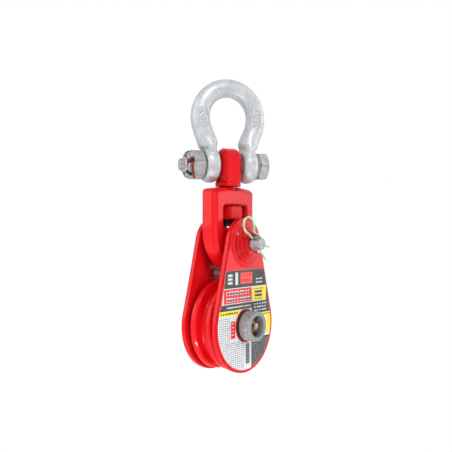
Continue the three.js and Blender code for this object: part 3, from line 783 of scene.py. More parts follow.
def cup_steel():
    """Dull mottled grey with a machined rim, and painted shade, near black and slightly brown, in the recess
    and gaps.
    """
    f = Finish("cup_steel", metallic=0.25, specular=0.3)
    tone = f.shades(f.grain(2.4, 5.0, 0.68), [
        (0.34, (0.18, 0.18, 0.185, 1)), (0.5, (0.31, 0.305, 0.31, 1)), (0.66, (0.46, 0.455, 0.46, 1)),
    ])
    front = -CHEEK_FACE - CUP_END
    rim = f.span(f.along("Y"), 1.0, 0.0, front + 0.15, front + 0.9)
    tone = f.blend(rim, tone, (0.27, 0.27, 0.26, 1))
    # Painted shade in the recess and gaps.
    f.colour(f.blend(f.product(f.hollow(9), 0.95), tone, (0.05, 0.042, 0.038, 1)))
    f.roughness(f.span(f.grain(1.8, 3.0), 0.48, 0.68))
    f.bump(f.grain(1.5, 4.0), 0.06, 0.7)
    return f.material


def rusty():
    f = Finish("rusty_wire", metallic=0.1, specular=0.25)
    f.colour(f.shades(f.grain(1.6, 4.0, 0.65), [
        (0.3, srgb(70, 26, 16)), (0.5, srgb(120, 46, 28)), (0.7, srgb(158, 74, 46)),
    ]))
    f.roughness(f.span(f.grain(0.8), 0.7, 0.92))
    f.bump(f.grain(0.6, 3.0), 0.05, 0.8)
    return f.material


def rubber():
    f = Finish("black_seal", specular=0.3)
    f.colour(f.shades(f.grain(3), [(0.3, srgb(26, 27, 29)), (0.7, srgb(44, 45, 47))]))
    f.roughness(f.span(f.grain(1.2), 0.55, 0.75))
    f.bump(f.grain(0.5), 0.02, 0.5)
    return f.material


def ink(name, colour, fade=0.9):
    """Printed film: even colour with a faint mottle, under a dull skin."""
    f = Finish(name, coat=0.12, coat_roughness=0.3, specular=0.25)
    pale = tuple(min(1.0, c * fade + 0.012) for c in colour[:3])
    f.colour(f.shades(f.grain(7, 4.0), [(0.3, (*pale, 1)), (0.7, colour)]))
    f.roughness(f.span(f.grain(2.4), 0.42, 0.55))
    f.bump(f.grain(5, 1.0), 0.015, 0.4)
    return f.material


RED = red_paint()
GALVANISED = galvanised()
ZINC = zinc("zinc_plate", (0.56, 0.58, 0.57, 1), (0.39, 0.405, 0.40, 1))
NUT_ZINC = zinc("nut_zinc", (0.46, 0.465, 0.465, 1), (0.33, 0.335, 0.335, 1), 0.5, corner_shade=0.5)
PIN_ZINC = zinc("pin_zinc", (0.42, 0.40, 0.43, 1), (0.24, 0.225, 0.25, 1), 0.38)
CLIP = zinc("clip_zinc", (0.44, 0.82, 0.58, 1), (0.20, 0.50, 0.32, 1), 0.3, 0.3)
TURNED = turned("turned_steel", (0.50, 0.49, 0.47, 1), (0.26, 0.25, 0.24, 1))
# Near-black steel: partly its own dark colour, partly painted shade under the nut.
THREAD = zinc("thread_steel", (0.10, 0.09, 0.09, 1), (0.04, 0.035, 0.035, 1), 0.45, 0.7)
CUP = cup_steel()
# Pale steel for the keeper, whose pink tint is painted reflection of the red plates around it.
BAR_STEEL = zinc("bar_steel", (0.62, 0.50, 0.51, 1), (0.42, 0.33, 0.34, 1), 0.4, 0.1, 0.15)
BRASS = turned("brass", (0.52, 0.34, 0.20, 1), (0.29, 0.17, 0.09, 1), 0.3)
BRONZE = turned("bronze", (0.52, 0.36, 0.18, 1), (0.33, 0.21, 0.10, 1), 0.38)
RUSTY = rusty()
RUBBER = rubber()
WHITE_FILM = ink("white_film", srgb(216, 218, 221), 0.94)
CHARCOAL_INK = ink("charcoal_ink", srgb(54, 57, 58), 1.15)
RED_INK = ink("red_ink", srgb(226, 44, 42))
PALE_RED_INK = ink("pale_red_ink", srgb(232, 92, 84))
YELLOW_INK = ink("yellow_ink", srgb(246, 220, 30))
GREY_INK = ink("grey_ink", srgb(140, 142, 146))
BLUE_INK = ink("blue_ink", srgb(52, 58, 82), 1.2)
PALE_INK = ink("pale_ink", srgb(214, 216, 214))

BAR = bar_tree()
ROWS = rows_tree()
ROUND = round_tree()


def dress(shape, name, finish, body, slot, *nodes):
    """Names a finished shape, moves it into the row frame and hangs it on its body."""
    shape.name = name
    shape.data.name = name
    shape.data.transform(TO_ROW)
    if finish:
        shape.data.materials.clear()
        shape.data.materials.append(finish)
    shape.data.polygons.foreach_set("use_smooth", [True] * len(shape.data.polygons))
    shape.data.set_sharp_from_angle(angle=math.radians(50))
    shape.data.update()
    if finish in (RED, ZINC, NUT_ZINC):
        mark_edges(shape)
    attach(shape, body)
    if nodes:
        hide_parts(*nodes)
    return shape


# Shackle

def shackle_bow():
    leg = [(EAR_X, 151), (18.7, 157), (19.5, 164.5), (21.4, 171.8), (24.5, 179), (26.9, 186)]
    centre = CROWN_Z + BOW_STOCK_R - BOW_HALF
    crown = arc(BOW_HALF, 0, 180, 13, z=centre)
    stations = [(x, 0, z) for x, z in [*leg, *crown, *[(-x, z) for x, z in reversed(leg)]]]
    bar = grow(line_mesh(smooth_line(stations, 161)), BAR, Middle_radius=BOW_STOCK_R, Leg_radius=BOW_LEG_R,
               End_radius=EAR_HALF_T - 0.6, End_width=13.2, Sides=56)
    bar = outward(bar)
    bar.data.transform(ON_SHACKLE)
    t = EAR_HALF_T
    profile = [
        (0, -t), (12.6, -t, 0.8), (14.5, -t + 1.1, 1.2), (16, -3.2, 1.6), (EAR_R, 0, 2), (16.4, 2.5, 1.6),
        (15.3, t - 1.2, 1), (14, t, 0.8), (0, t),
    ]
    ears = []
    for flip in (1, -1):
        side = Matrix.Scale(flip, 4, (1, 0, 0)) @ Matrix.Translation((EAR_X, 0, 0))
        ears.append(lathe(profile, ON_BOLT @ side))
    bow = forge(join(bar, *ears), 0.5, 16)
    bow = cut(bow, bore(BOLT_R + BOLT_GAP, ON_BOLT))
    bow = roughen(roughen(bow, 5.0, 0.14), 1.5, 0.9, cast_patches)
    return mark(bow, "pits", cast_patches(read_all(bow.data.vertices, "co")))


def cast_patches(points):
    """1 on the two rough patches at the front of the bow's shoulders."""
    spots = np.zeros(len(points))
    back = ON_SHACKLE.inverted()
    local = points @ np.array(back.to_3x3()).T
    for x, z, wide, tall in ((-27.6, 194.5, 5, 8.5), (25.4, 194.5, 5.5, 10)):
        far = np.hypot((local[:, 0] - x) / wide, (local[:, 2] - z) / tall)
        spots = np.maximum(spots, np.clip((1.15 - far) / 0.3, 0, 1))
    return np.where(local[:, 1] < -1.5, spots, 0)


def shackle_bolt():
    point = lathe([
        (0, -48.3), (5.5, -48.3, 1.0), (5.5, -44.7, 0.2), (6.4, -44.4, 0.3), (7.2, -43.3, 0.4), (7.2, -42),
        (0, -42),
    ], ON_BOLT)
    shank = lathe([
        (0, -EAR_FACE - 1.4), (BOLT_R - 0.4, -EAR_FACE - 1.4), (BOLT_R, -EAR_FACE - 1.0),
        (BOLT_R, EAR_FACE + 4), (0, EAR_FACE + 4),
    ], ON_BOLT)
    screw = threaded(BOLT_R - 0.3, -43.2, -EAR_FACE - 1.2, SCREW_PITCH, 0.8, ON_BOLT)
    head = forge(hexagon(HEX_AF, HEAD_START, HEAD_END, ON_BOLT), 0.3, 2)
    hole = bore(COTTER_HOLE_R, ON_COTTER @ Matrix.Rotation(math.pi / 2, 4, "Z"), 32)
    return cut(join(screw, point, shank, head), hole)


def shackle_nut():
    start = -EAR_FACE - GAP
    end = start - NUT_LENGTH
    body = hexagon(HEX_AF, end - 1, start, ON_NUT)
    dome = lathe([
        (0, end), (8.9, end, 0.3), (10.8, end + 0.5, 0.5), (12.2, end + 1.5, 1.5), (13.2, end + 3.2, 2),
        (13.8, end + 5.4, 3), (14.2, end + 7.6, 3), (14.2, start + 1), (0, start + 1),
    ], ON_BOLT)
    half = NUT_SLOT_HALF
    slot = block((end - 3, -20, -half), (end + NUT_SLOT_DEPTH, 20, half))
    slots = grow(slot, ROUND, Count=3, Spread=math.pi)
    slots.data.transform(ON_NUT)
    bore = rod(BOLT_R, start - 20, start + 2, ON_BOLT)
    return forge(cut(meet(body, dome), bore, *separate(slots, 3)), 0.25, 2)


def separate(shape, copies):
    """One object for each of the equal copies that a tree has put in one mesh."""
    points = read_all(shape.data.vertices, "co")
    size = len(points) // copies
    faces = [tuple(face.vertices) for face in shape.data.polygons]
    pieces = []
    for k in range(copies):
        first = k * size
        own = [[v - first for v in face] for face in faces if first <= face[0] < first + size]
        pieces.append(outward(drawn(points[first:first + size], [], own)))
    bpy.data.objects.remove(shape)
    return pieces


def shackle_cotter():
    eye = [(0, y, z) for y, z in arc(2.5, -150, 150, 15, 13.6, 1.2)]
    long_leg = [
        (0.5, -9.5, -0.1), (0.7, -12.1, -0.3), (0.7, -13.7, -1.9), (0.8, -13, -7), (1.8, -10.8, -11.7),
        (3, -8.3, -15.5),
    ]
    short_leg = [(-0.5, -9.5, 0.1), (-1.7, -12.6, 0.4), (-1.5, -14.2, 0.8), (0.2, -15, 1.4), (2.2, -15.3, 2)]
    parts = [wire(eye, 1.0, 40, RUSTY), wire(long_leg, 1.05, 30, RUSTY), wire(short_leg, 1.05, 30, RUSTY)]
    pin = forge(join(wire([(0, 11.6, 0), (0, 0, 0), (0, -11.4, 0)], 1.5, 12, RUSTY), *parts), 0.16, 2)
    pin.data.transform(ON_COTTER)
    return pin


# Swivel eye

def lug_outline():
    side = math.degrees(math.acos(LUG_HALF_W / LUG_TOP_R))
    top = arc(LUG_TOP_R, side, 180 - side, 40, z=BOLT_Z)
    foot = NECK_R - 0.6
    low = [(-LUG_HALF_W, 138, 5), (-foot, LUG_FOOT_Z), (foot, LUG_FOOT_Z), (LUG_HALF_W, 138, 5)]
    return soften([*top, (-LUG_HALF_W, BOLT_Z, 2), *low, (LUG_HALF_W, BOLT_Z, 2)], closed=True, support=9)


def swivel_eye():
    t = LUG_HALF_T
    b = LUG_BEVEL
    side = [(t - b, 0), (t - 0.45 * b, 0.38 * b), (t, b)]
    lug = plate(lug_outline(), [*[(-w, d) for w, d in reversed(side)], *side])
    lug.data.transform(ON_SHACKLE @ Matrix.Rotation(math.radians(90), 4, "Z"))
    foot = YOKE_TOP_Z + GAP
    neck = lathe([
        (0, foot), (NECK_R, foot, 0.5), (NECK_R, LUG_FOOT_Z, 1), (NECK_R - 1.2, 137), (0, 141),
    ], ALONG_Z)
    shank = lathe([(0, SHANK_SPLIT), (SHANK_R, SHANK_SPLIT), (SHANK_R, foot + 2), (0, foot + 2)], ALONG_Z)
    body = forge(join(lug, neck, shank), 0.4, 3)
    body = roughen(cut(body, bore(BOLT_R + BOLT_GAP, ON_BOLT)), 4.0, 0.14)
    # Painted shade: the lug's bevel facets, slanting to the bolt's axis, are marked for a deeper red; the
    # cast flecks keep off them.
    along = np.array(ON_SHACKLE.to_3x3() @ Vector((1, 0, 0)))
    slant = np.abs(read_all(body.data.vertices, "normal") @ along)
    bevel = np.clip(1.25 - np.abs(slant - 0.66) / 0.22, 0, 1)
    mark(body, "cast", np.clip(1.2 - bevel, 0, 1))
    return mark(body, "bevel", bevel)


def swivel_thread():
    """Threaded end of the eye's shank, bare steel under the nut; its near-black colour is partly painted
    shade.
    """
    end = WINDOW_TOP - GAP - SHANK_REACH
    screw = threaded(SHANK_R, end, SHANK_SPLIT - 0.01, SCREW_PITCH, 0.7, ALONG_Z)
    return cut(screw, lock_bore())


def lock_bore():
    return rod(LOCK_BORE_R, -14, 14, ON_LOCK, 32)


def swivel_nut():
    top = WINDOW_TOP - GAP
    turn = Matrix.Rotation(SWIVEL_NUT_TURN, 4, "Z")
    body = hexagon(HEX_AF, top - SWIVEL_NUT_HEIGHT, top, turn @ ALONG_Z, both=True)
    body = cut(body, rod(SHANK_R + GAP, 80, 120, ALONG_Z), lock_bore())
    return forge(body, 0.3, 3)


# Yoke

def yoke_outline():
    hub = [
        (0, LATCH_Z - YOKE_HUB_R), (8.2, 53.1), (15.6, 57.3), (21.6, 62.9), (26.6, 70.2),
        (29.6, 79.4), (YOKE_HALF_W, 90), (YOKE_HALF_W, 100),
    ]
    right = [tuple(p[:2]) for p in smooth_line([(x, z, 0) for x, z in hub], 60)]
    shoulder = YOKE_TOP_Z - YOKE_CROWN_DROP
    right += arc(2.4, -8, 84, 8, YOKE_HALF_W - 2.4, shoulder - 2.2)
    for x in np.linspace(YOKE_HALF_W - 4, 0, 14)[:-1]:
        right.append((x, YOKE_TOP_Z - YOKE_CROWN_DROP * (x / YOKE_HALF_W) ** 2))
    left = [(-x, z) for x, z in reversed(right[1:])]
    return [*right, (0, YOKE_TOP_Z), *left]


def window_outline():
    x, low, high = WINDOW_HALF, WINDOW_BOTTOM, WINDOW_TOP
    corners = [(*p, WINDOW_CORNER) for p in ((-x, low), (x, low), (x, high), (-x, high))]
    return soften(corners, closed=True, steps=8, support=9)


def yoke():
    d = YOKE_HALF_D
    c = YOKE_CHAMFER
    body = plate(yoke_outline(), [(-d, c), (-d + c, 0), (d - c, 0), (d, c)])
    middle = window_outline()
    rim = inset(middle, -2.4)
    rim = [(x, z + 1.3 * max(0, 1 - (x / WINDOW_HALF) ** 2) * (z > LOCK_Z)) for x, z in rim]
    lines = (-d - 1, rim), (-d + 1.4, middle), (d - 1.4, middle), (d + 1, rim)
    window = skin([[(x, y, z) for x, z in line] for y, line in lines])
    body = forge(cut(body, window), 0.42, 3)
    bores = rod(SHANK_R + BORE_GAP, 100, 140, ALONG_Z), bore(LATCH_R + BORE_GAP, ON_LATCH)
    return roughen(cut(body, *bores), 7.0, 0.10)


# Cheeks

def cheek_outline():
    lean = math.degrees(math.asin((CHEEK_R - CHEEK_TOP_R) / CHEEK_TOP_Z))
    low = arc(CHEEK_R, -90, lean, 64)
    high = arc(CHEEK_TOP_R, lean, 90, 48, z=CHEEK_TOP_Z)
    start, end = Vector(low[-1]), Vector(high[0])
    inward = Vector((-(end - start).y, (end - start).x)).normalized()
    flank = []
    for t in np.linspace(0, 1, 26)[1:-1]:
        flank.append(tuple(start.lerp(end, t) + inward * (FLANK_SAG * 4 * t * (1 - t))))
    right = [*low, *flank, *high]
    return [*right, *[(-x, z) for x, z in reversed(right[1:-1])]]


def cheek_blank(ratio):
    """Cheek with its boss, whose height is the given share of the front one's."""
    body = plate(cheek_outline(), rounded_stations(CHEEK_INNER, CHEEK_FACE, 0.9))
    profile = [(0, CHEEK_FACE - 2), (BOSS_STEPS[0][0], CHEEK_FACE - 2)]
    profile += [(r, CHEEK_FACE + h * ratio, 0.35) for r, h in BOSS_STEPS]
    profile += [(0, CHEEK_FACE + BOSS_HEIGHT * ratio)]
    return join(body, lathe(profile, ON_LATCH, 128))


def arc_slot():
    """Way out for the latch pin's neck: along an arc about the axle, to the edge."""
    half = LATCH_NECK_R + BORE_GAP
    outline = arc(LATCH_Z + half, 60, 90, 24) + arc(LATCH_Z - half, 90, 60, 24)
    return plate(outline, [(CHEEK_INNER - 2, 0), (CHEEK_FACE + 12, 0)])


def near_boss(points):
    """1 on the boss, fading to 0.12 on the plate, and 0 where the label lies."""
    radius = np.hypot(points[:, 0], points[:, 2] - LATCH_Z)
    weight = np.clip((26 - radius) / 5, 0.12, 1)
    flat = (points[:, 2] < LABEL_TOP + 1) & (np.abs(np.abs(points[:, 1]) - CHEEK_FACE) < 0.3)
    return np.where(flat, 0, weight)


def risers(shape):
    """Marks painted shade on the boss's steep rings on its left and lower side, damps the arris shade on the
    rest of the boss, and marks its rough cast top.
    """
    points = read_all(shape.data.vertices, "co")
    steep = 1.25 - np.abs(read_all(shape.data.vertices, "normal")[:, 1]) * 1.25
    radius = np.hypot(points[:, 0], points[:, 2] - LATCH_Z) + 0.01
    aside, up = points[:, 0] / radius, (points[:, 2] - LATCH_Z) / radius
    low = np.where(radius > OUTER_RING_R, 0.45, 1.0)
    left = np.clip((-aside - 0.1) / 0.3, 0, 1)
    share = left * np.clip((0.7 - up) / 0.3, 0, 1) * np.clip((up + low) / 0.25, 0, 1)
    boss = (radius < BOSS_STEPS[0][0] + 0.3) & (np.abs(points[:, 1]) > CHEEK_FACE + 0.1)
    # Painted shade on the left and lower risers; the arris shade is damped on the rest of the boss.
    mark(shape, "bevel", np.where(boss, np.clip(steep * 4, 0, 1.5) * share, 0))
    mark(shape, "even_coat", np.where(boss, 1 - share, 0))
    return mark(shape, "cast", np.clip((up * radius - 2) / 6, 0, 1) * (near_boss(points) > 0.5))


def bored_cheek(body, *bores):
    return risers(roughen(cut(body, *bores), 2.6, 0.12, near_boss))


def front_cheek():
    neck = bore(LATCH_NECK_R + BORE_GAP, ON_LATCH, 64)
    body = forge(cut(cheek_blank(1), neck, arc_slot()), 0.47, 1)
    return bored_cheek(body, bore(AXLE_R + BORE_GAP))


def rear_cheek():
    body = cheek_blank(REAR_BOSS_RATIO)
    body.data.transform(Matrix.Scale(-1, 4, (0, 1, 0)))
    body = forge(outward(body), 0.5, 2)
    return bored_cheek(body, bore(AXLE_R + GAP), bore(LATCH_R + GAP, ON_LATCH),
                       bore(KEEPER_TENON_R + GAP, ON_KEEPER))


# Latch pin and hairpin

def clip_point(s, t):
    """Point in the hairpin's plane: s along the straight leg to its tip, t square to it."""
    c, d = math.cos(CLIP_SLOPE), math.sin(CLIP_SLOPE)
    return Vector((s * c - t * d, -CLIP_W, LATCH_Z + s * d + t * c))


def latch_pin():
    rear = -CHEEK_FACE - BOSS_HEIGHT * REAR_BOSS_RATIO - GAP
    neck = CHEEK_FACE + BOSS_HEIGHT + GAP
    body = lathe([
        (0, rear - 4), (9, rear - 4, 1.2), (9, rear, 0.3), (LATCH_R, rear),
        (LATCH_R, CHEEK_INNER - GAP, 0.3), (LATCH_NECK_R, CHEEK_INNER - GAP), (LATCH_NECK_R, neck),
        (LATCH_R, neck, 0.4), (LATCH_R, LATCH_STEP_W, 0.7), (LATCH_TIP_R, LATCH_STEP_W, 0.3),
        (LATCH_TIP_R, LATCH_END_W, 0.9), (0, LATCH_END_W),
    ], ON_LATCH)
    a, b = clip_point(-12, 0), clip_point(12, 0)
    turn = (b - a).to_track_quat("X", "Z").to_matrix().to_4x4()
    return cut(body, rod(CLIP_WIRE_R + 0.85, 0, 24, Matrix.Translation(a) @ turn, 40))


def hairpin():
    stations = [
        (22, 0), (12, 0), (2, 0), (-7, 0), (-13, -0.6), (-19.3, -2.2), (-24.8, -0.3), (-27.2, 5.2),
        (-24.2, 10.7), (-18.4, 12.4), (-13.2, 10.6), (-9.2, 6.4), (-6.2, 6.7), (-2.4, 8.7),
        (2, 9.5), (7, 9.2), (11.8, 8.3), (15.2, 10.2), (18.6, 13),
    ]
    return wire([clip_point(s, t) for s, t in stations], CLIP_WIRE_R, 260, CLIP, 24)


# Sheave and axle

def sheave():
    half = [
        (BUSH_R + GAP, SHEAVE_HALF, 0.4), (20.5, SHEAVE_HALF, 0.5), (21.8, 8.2, 1.0), (26.2, 8.2, 1.0),
        (28.4, 11.2, 0.8), (SHEAVE_R - 1.6, SHEAVE_HALF, 0.4), (SHEAVE_R, SHEAVE_HALF - 1.4, 0.8),
        (SHEAVE_R, RIM_LIP + 1.4, 0.8), (SHEAVE_R - 1.4, RIM_LIP - 0.1, 0.8),
    ]
    centre = TREAD_R + GROOVE_R
    groove = [
        (centre - GROOVE_R * math.sin(t), GROOVE_R * math.cos(t)) for t in np.linspace(0, math.pi, 17)
    ]
    other = [(r, -w, c) for r, w, c in reversed(half)]
    return roughen(lathe([*half, *groove, *other], ALONG_W, 240, closed=True, pitch=0.7), 3.5, 0.10)


def centre_pin():
    rear = -CHEEK_FACE - 6.3
    front = CHEEK_FACE + CUP_START
    return lathe([
        (0, rear), (PIN_HEAD_R, rear, 1.6), (PIN_HEAD_R, -CHEEK_FACE - GAP, 0.4),
        (AXLE_R, -CHEEK_FACE - GAP), (AXLE_R, front - 0.4), (7.7, front - 0.4), (7.7, front + 3.8, 0.6),
        (3.3, front + 3.8, 0.3), (3.3, front - 2), (0, front - 2),
    ])


def centre_cup():
    start = CHEEK_FACE + CUP_START
    end = CHEEK_FACE + CUP_END
    return lathe([
        (8, start), (CUP_R, start, 0.5), (CUP_R, end, 1.1), (CUP_RECESS_R, end, 0.6),
        (CUP_RECESS_R, start + 3.6, 0.4), (8, start + 3.6),
    ], segments=128, closed=True, steps=5)


def grease_nipple():
    foot = CHEEK_FACE + CUP_START + 3.8 + GAP
    stem = lathe([
        (0, foot - 4), (2.9, foot - 4), (2.9, foot + 1), (2.3, foot + 3.2, 0.4), (2.1, foot + 3.6, 0.4),
        (3.0, foot + 4.4, 0.4), (3.2, foot + 5.2, 0.4), (2.9, foot + 6, 0.3), (1.4, foot + 6.4, 0.2),
        (0.5, foot + 6.4), (0, foot + 5.6),
    ], segments=64)
    return forge(join(stem, hexagon(8, foot, foot + 3, ALONG_W)), 0.12, 2)


def keeper_bar():
    return lathe([
        (0, -CHEEK_FACE + 0.6), (KEEPER_TENON_R, -CHEEK_FACE + 0.6, 0.4),
        (KEEPER_TENON_R, -CHEEK_INNER + GAP), (3.8, -CHEEK_INNER + GAP, 0.3),
        (3.8, CHEEK_INNER - GAP, 0.6), (0, CHEEK_INNER - GAP),
    ], ON_KEEPER)


# Label: a white film with plain fields of colour and rows of small print bars

LABEL_OUTLINE = [
    (-29.8, LABEL_TOP, 1.2), (-35.4, 21.5, 1), (-38.8, 16.5, 1), (-41.1, 4),
    *arc(40.9, 182, 362, 60, x=-0.3),
    (39.6, 10), (29.6, LABEL_TOP, 1.2),
]
FILM_BACK = CHEEK_FACE - 0.08
FILM_FACE = CHEEK_FACE + 0.16
FILM_OPENING_R = 15.7
INK_STEP = 0.05
INK_LAP = 0.02


def label_plate(front, margin=0):
    outline = soften(LABEL_OUTLINE, closed=True, support=9)
    return plate(inset(outline, margin) if margin else outline, [(FILM_BACK, 0), (front, 0)])


def film():
    """The label's outline as a thin plate, with the round opening for the cup."""
    return cut(label_plate(FILM_FACE), bore(FILM_OPENING_R))


def trim(shape):
    """Keeps what lies inside the label's outline and clear of the cup."""
    return cut(meet(shape, label_plate(FILM_FACE + 1, 0.08)), bore(FILM_OPENING_R + 0.3))


def ink_back(level):
    """Where a layer of ink starts, a little inside the one below."""
    return FILM_FACE - INK_LAP + (level - 1) * INK_STEP


def field(left, right, low, high, level=1):
    """Rectangular field of ink."""
    back = ink_back(level)
    return block((left, -back - INK_STEP - 0.01, low), (right, -back, high))


def dot(x, z, radius):
    back = ink_back(2)
    return rod(radius, back, back + INK_STEP + 0.01, Matrix.Translation((x, 0, z)) @ ALONG_W, 40)


def rows(left, top, count, pitch, columns, step, height, seed, level=2):
    """Rows of small print bars from the top left corner on."""
    shape = grow(line_mesh([(0, 0, 0), (0, 0, 0.1)]), ROWS, Rows=count, Columns=columns,
                 Row_pitch=pitch, Column_pitch=step, Bar_height=height, Bar_depth=INK_STEP, Seed=seed,
                 Finish=WHITE_FILM)
    shape.data.transform(Matrix.Translation((left, -FILM_FACE - (level - 0.5) * INK_STEP, top)))
    return outward(shape)


def merge(first, *rest):
    """Puts separate shapes into one object, side by side."""
    work = bmesh.new()
    for shape in (first, *rest):
        work.from_mesh(shape.data)
    work.to_mesh(first.data)
    work.free()
    for shape in rest:
        bpy.data.objects.remove(shape)
    return first


def printed(name, finish, *shapes):
    """Shapes in one ink as one piece."""
    return dress(merge(*[trim(shape) for shape in shapes]), name, finish, "front_cheek", None)


def label():
    dress(film(), "label_film", WHITE_FILM, "front_cheek", None)
    printed("label_charcoal", CHARCOAL_INK, field(-45, 45, 35.7, 52), field(33, 45, 21.2, 35.7),
            field(-45, 9.8, 15.6, 21.2), field(9.8, 45, 9.9, 21.2), field(9, 45, -45, -12.8))
    printed("label_red", RED_INK, field(-33, 9.6, 21.9, 34.9), field(-22.6, -16, -10, 5.5))
    printed("label_pale_red", PALE_RED_INK, field(-8, 10.4, 38.8, 49.2, 2))
    printed("label_yellow", YELLOW_INK, field(10.4, 32.6, 21.9, 34.9), field(-45, -10, 11, 15.3),
            field(26, 45, -10.5, 9.6))
    printed("label_grey", GREY_INK, field(0, 6, -36, -16))
    marks = [field(-27, -20.2, 39.4 + 3.4 * k, 41.6 + 3.4 * k, 2) for k in range(3)]
    printed("label_white_marks", PALE_INK, *marks, field(-15.8, -11.8, 38.4, 49.8, 2),
            dot(31.4, 3.8, 2.9), dot(32.2, -4.4, 2.9))
    printed("label_white_print", PALE_INK, rows(16.4, 42.4, 2, 3.2, 2, 5.4, 1.2, 3),
            rows(-28.4, 18.3, 1, 2, 11, 3.4, 1.3, 5), rows(13.5, 18.6, 3, 3.0, 5, 4.2, 1.2, 7),
            rows(-29.4, 31.2, 2, 6.0, 9, 4.1, 3.6, 12), rows(-21.6, 3.6, 4, 3.4, 2, 2.3, 1.0, 13))
    printed("label_red_print", RED_INK, rows(-7, 46.8, 2, 4.9, 4, 4.1, 2.9, 4, 3))
    printed("label_blue_print", BLUE_INK, rows(-28.9, 30.9, 2, 6.0, 9, 4.1, 1.7, 12, 3),
            rows(13.4, 33, 1, 2, 5, 3.2, 0.9, 16), rows(14.6, 23.4, 1, 2, 4, 3.2, 0.9, 17),
            field(14.6, 26.4, 25.6, 27.8, 2), field(14.6, 26.4, 29, 31.2, 2))
    stripes = [field(0, 6, -34.4 + 2.2 * k, -33.3 + 2.2 * k, 2) for k in range(8)]
    printed("label_dark_print", CHARCOAL_INK, rows(-37.6, 13.1, 1, 2, 8, 3.3, 1.5, 18),
            rows(28, 8, 1, 2, 4, 3, 1.1, 19), *stripes)
    printed("label_fine_print", GREY_INK, rows(-39.6, 8.6, 11, 2.05, 6, 2.8, 0.8, 21),
            rows(-38, -14, 13, 1.95, 12, 3.05, 0.8, 23))
    printed("label_light_print", GREY_INK, rows(10.6, -15, 14, 1.9, 9, 3.1, 0.8, 25))


# Build

def build():
    dress(shackle_bow(), "bow_forging", GALVANISED, "shackle", "galvanised", "shackle_bow")
    dress(shackle_bolt(), "bolt", ZINC, "shackle", "zinc_plate", "shackle_bolt")
    ring = washer(BOLT_R + GAP, BOLT_WASHER_R, EAR_FACE + GAP, HEAD_START - GAP, ON_BOLT)
    dress(ring, "bolt_washer", ZINC, "shackle", "zinc_plate", "shackle_washer")
    dress(shackle_nut(), "slotted_nut", NUT_ZINC, "shackle", "zinc_plate", "shackle_nut")
    dress(shackle_cotter(), "split_pin", RUSTY, "shackle", "rusted_steel", "shackle_cotter")
    dress(swivel_eye(), "eye_forging", RED, "eye", "red_paint", "swivel_eye")
    dress(swivel_thread(), "shank_thread", THREAD, "eye", "turned_steel")
    dress(swivel_nut(), "shank_nut", RED, "eye", "red_paint", "swivel_nut")
    pin = lathe([(0, -11.8), (1.9, -11.8, 0.4), (1.9, 11.8, 0.4), (0, 11.8)], ON_LOCK, 40)
    dress(pin, "lock_pin", ZINC, "eye", "zinc_plate", "swivel_lock_pin")
    dress(yoke(), "yoke_forging", RED, "yoke", "red_paint", "yoke")
    d = YOKE_HALF_D + GAP
    inner = CHEEK_INNER - GAP
    dress(washer(LATCH_R + GAP, SPACER_R, d, inner, ON_LATCH), "front_spacer", ZINC, "block", "zinc_plate",
          "yoke_spacer_front")
    dress(washer(LATCH_R + GAP, SPACER_R, -inner, -d, ON_LATCH), "rear_spacer", ZINC, "block", "zinc_plate",
          "yoke_spacer_rear")
    dress(rear_cheek(), "rear_plate", RED, "block", "red_paint", "rear_cheek")
    dress(front_cheek(), "front_plate", RED, "front_cheek", "red_paint", "front_cheek")
    dress(latch_pin(), "latch_pin_turned", PIN_ZINC, "block", "zinc_plate", "latch_pin")
    dress(hairpin(), "hairpin_wire", CLIP, "hairpin", "clip_zinc", "hairpin")
    dress(sheave(), "sheave_wheel", RED, "sheave", "red_paint", "sheave")
    dress(washer(AXLE_R + GAP, BUSH_R, -SHEAVE_HALF, SHEAVE_HALF), "bush", BRONZE, "sheave", "bronze",
          "sheave_bush")
    side = SHEAVE_HALF + GAP
    dress(washer(AXLE_R + GAP, THRUST_R, side, inner), "front_thrust_ring", BRONZE, "block", "bronze",
          "thrust_washer_front")
    dress(washer(AXLE_R + GAP, THRUST_R, -inner, -side), "rear_thrust_ring", BRONZE, "block", "bronze",
          "thrust_washer_rear")
    dress(centre_pin(), "axle_pin", TURNED, "block", "turned_steel", "centre_pin")
    dress(centre_cup(), "cup_nut", CUP, "block", "turned_steel", "centre_cup")
    seal = washer(AXLE_R + GAP, SEAL_R, CHEEK_FACE + GAP, CHEEK_FACE + CUP_START - GAP)
    dress(seal, "seal_ring", RUBBER, "block", "black_seal", "cup_washer")
    dress(grease_nipple(), "nipple", BRASS, "block", "brass", "grease_nipple")
    dress(keeper_bar(), "keeper", BAR_STEEL, "block", "turned_steel", "keeper_bar")
    label()


# Studio

FLOOR_Z = -0.43
PHOTO_AZIMUTH = math.radians(-52.2)
CAMERA_PLACE = (-0.5242, -0.4042, -0.1213)
FOCAL = 700 / 452 * 36
AIM = Vector((0, 0, -0.12))
LAMPS = [
    ("right_box", (0.98, -0.78, 0.16), 1.1, 4.9),
    ("left_box", (-0.98, 0.74, 0.30), 0.9, 3.6),
    ("key", (-0.75, -0.75, 0.95), 0.16, 9.5),
    ("low_front", (-0.16, -0.17, -0.41), 0.04, 0.38),
    ("low_left", (-0.30, 0.06, -0.41), 0.05, 0.25),
]


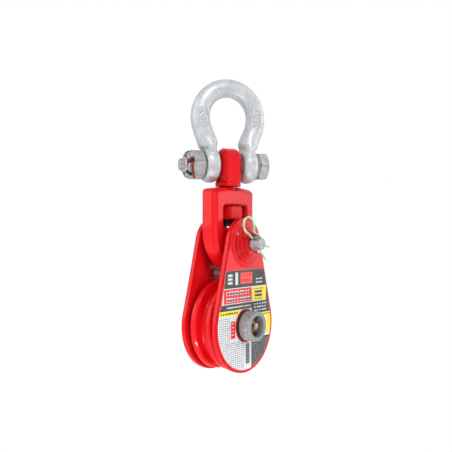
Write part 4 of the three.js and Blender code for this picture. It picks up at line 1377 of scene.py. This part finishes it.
def backdrop(t, plain, white, share=None):
    """Plain light or surface, but white where the camera sees it, directly or in reflections."""
    rays = t.add("ShaderNodeLightPath").outputs
    seen = t.math("MAXIMUM", rays["Is Camera Ray"], rays["Is Glossy Ray"])
    seen = t.math("MAXIMUM", seen, rays["Is Transmission Ray"])
    seen = seen if share is None else t.product(share, seen)
    return t.add("ShaderNodeMixShader", {0: seen, 1: plain, 2: white}).outputs[0]


def pale_floor():
    """Pale floor under the block, going over into the white backdrop further out."""
    f = Finish("pale_floor")
    f.surface.inputs["Base Color"].default_value = (0.95, 0.95, 0.95, 1)
    f.surface.inputs["Roughness"].default_value = 0.9
    white = f.add("ShaderNodeEmission", {"Strength": 1.0}).outputs[0]
    away = f.add("ShaderNodeVectorMath", {0: f.space, 1: (0, 0, FLOOR_Z)}, operation="DISTANCE")
    wires = {"Value": away.outputs["Value"], "From Min": 0.06, "From Max": 0.28}
    fade = f.add("ShaderNodeMapRange", wires, interpolation_type="SMOOTHSTEP").outputs["Result"]
    f.link(backdrop(f, f.surface.outputs[0], white, fade), f.out, "Surface")
    return f.material


def studio():
    scene = bpy.context.scene
    scene.view_settings.view_transform = "Standard"
    scene.world = bpy.data.worlds.new("studio")
    scene.world.use_nodes = True
    t = Wiring(scene.world.node_tree)
    t.tree.nodes.clear()
    soft, white = [
        t.add("ShaderNodeBackground", {"Color": (1, 1, 1, 1), "Strength": strength}).outputs[0]
        for strength in (0.56, 1.0)
    ]
    t.add("ShaderNodeOutputWorld", {"Surface": backdrop(t, soft, white)})

    for name, place, size, power in LAMPS:
        data = bpy.data.lights.new(name, "AREA")
        data.shape = "DISK"
        data.size = size
        data.energy = power
        light = show(name, data)
        light.location = place
        light.rotation_euler = (AIM - Vector(place)).to_track_quat("-Z", "Y").to_euler()

    mesh = bpy.data.meshes.new("floor")
    corners = [(-4, -4, FLOOR_Z), (4, -4, FLOOR_Z), (4, 4, FLOOR_Z), (-4, 4, FLOOR_Z)]
    mesh.from_pydata(corners, [], [(0, 1, 2, 3)])
    mesh.materials.append(pale_floor())
    show("floor", mesh)

    camera = show("camera", bpy.data.cameras.new("camera"))
    camera.location = CAMERA_PLACE
    camera.rotation_euler = (math.radians(90), 0, PHOTO_AZIMUTH)
    camera.data.sensor_width = 36
    camera.data.lens = FOCAL
    camera.data.clip_start = 0.01
    scene.camera = camera


build()
studio()
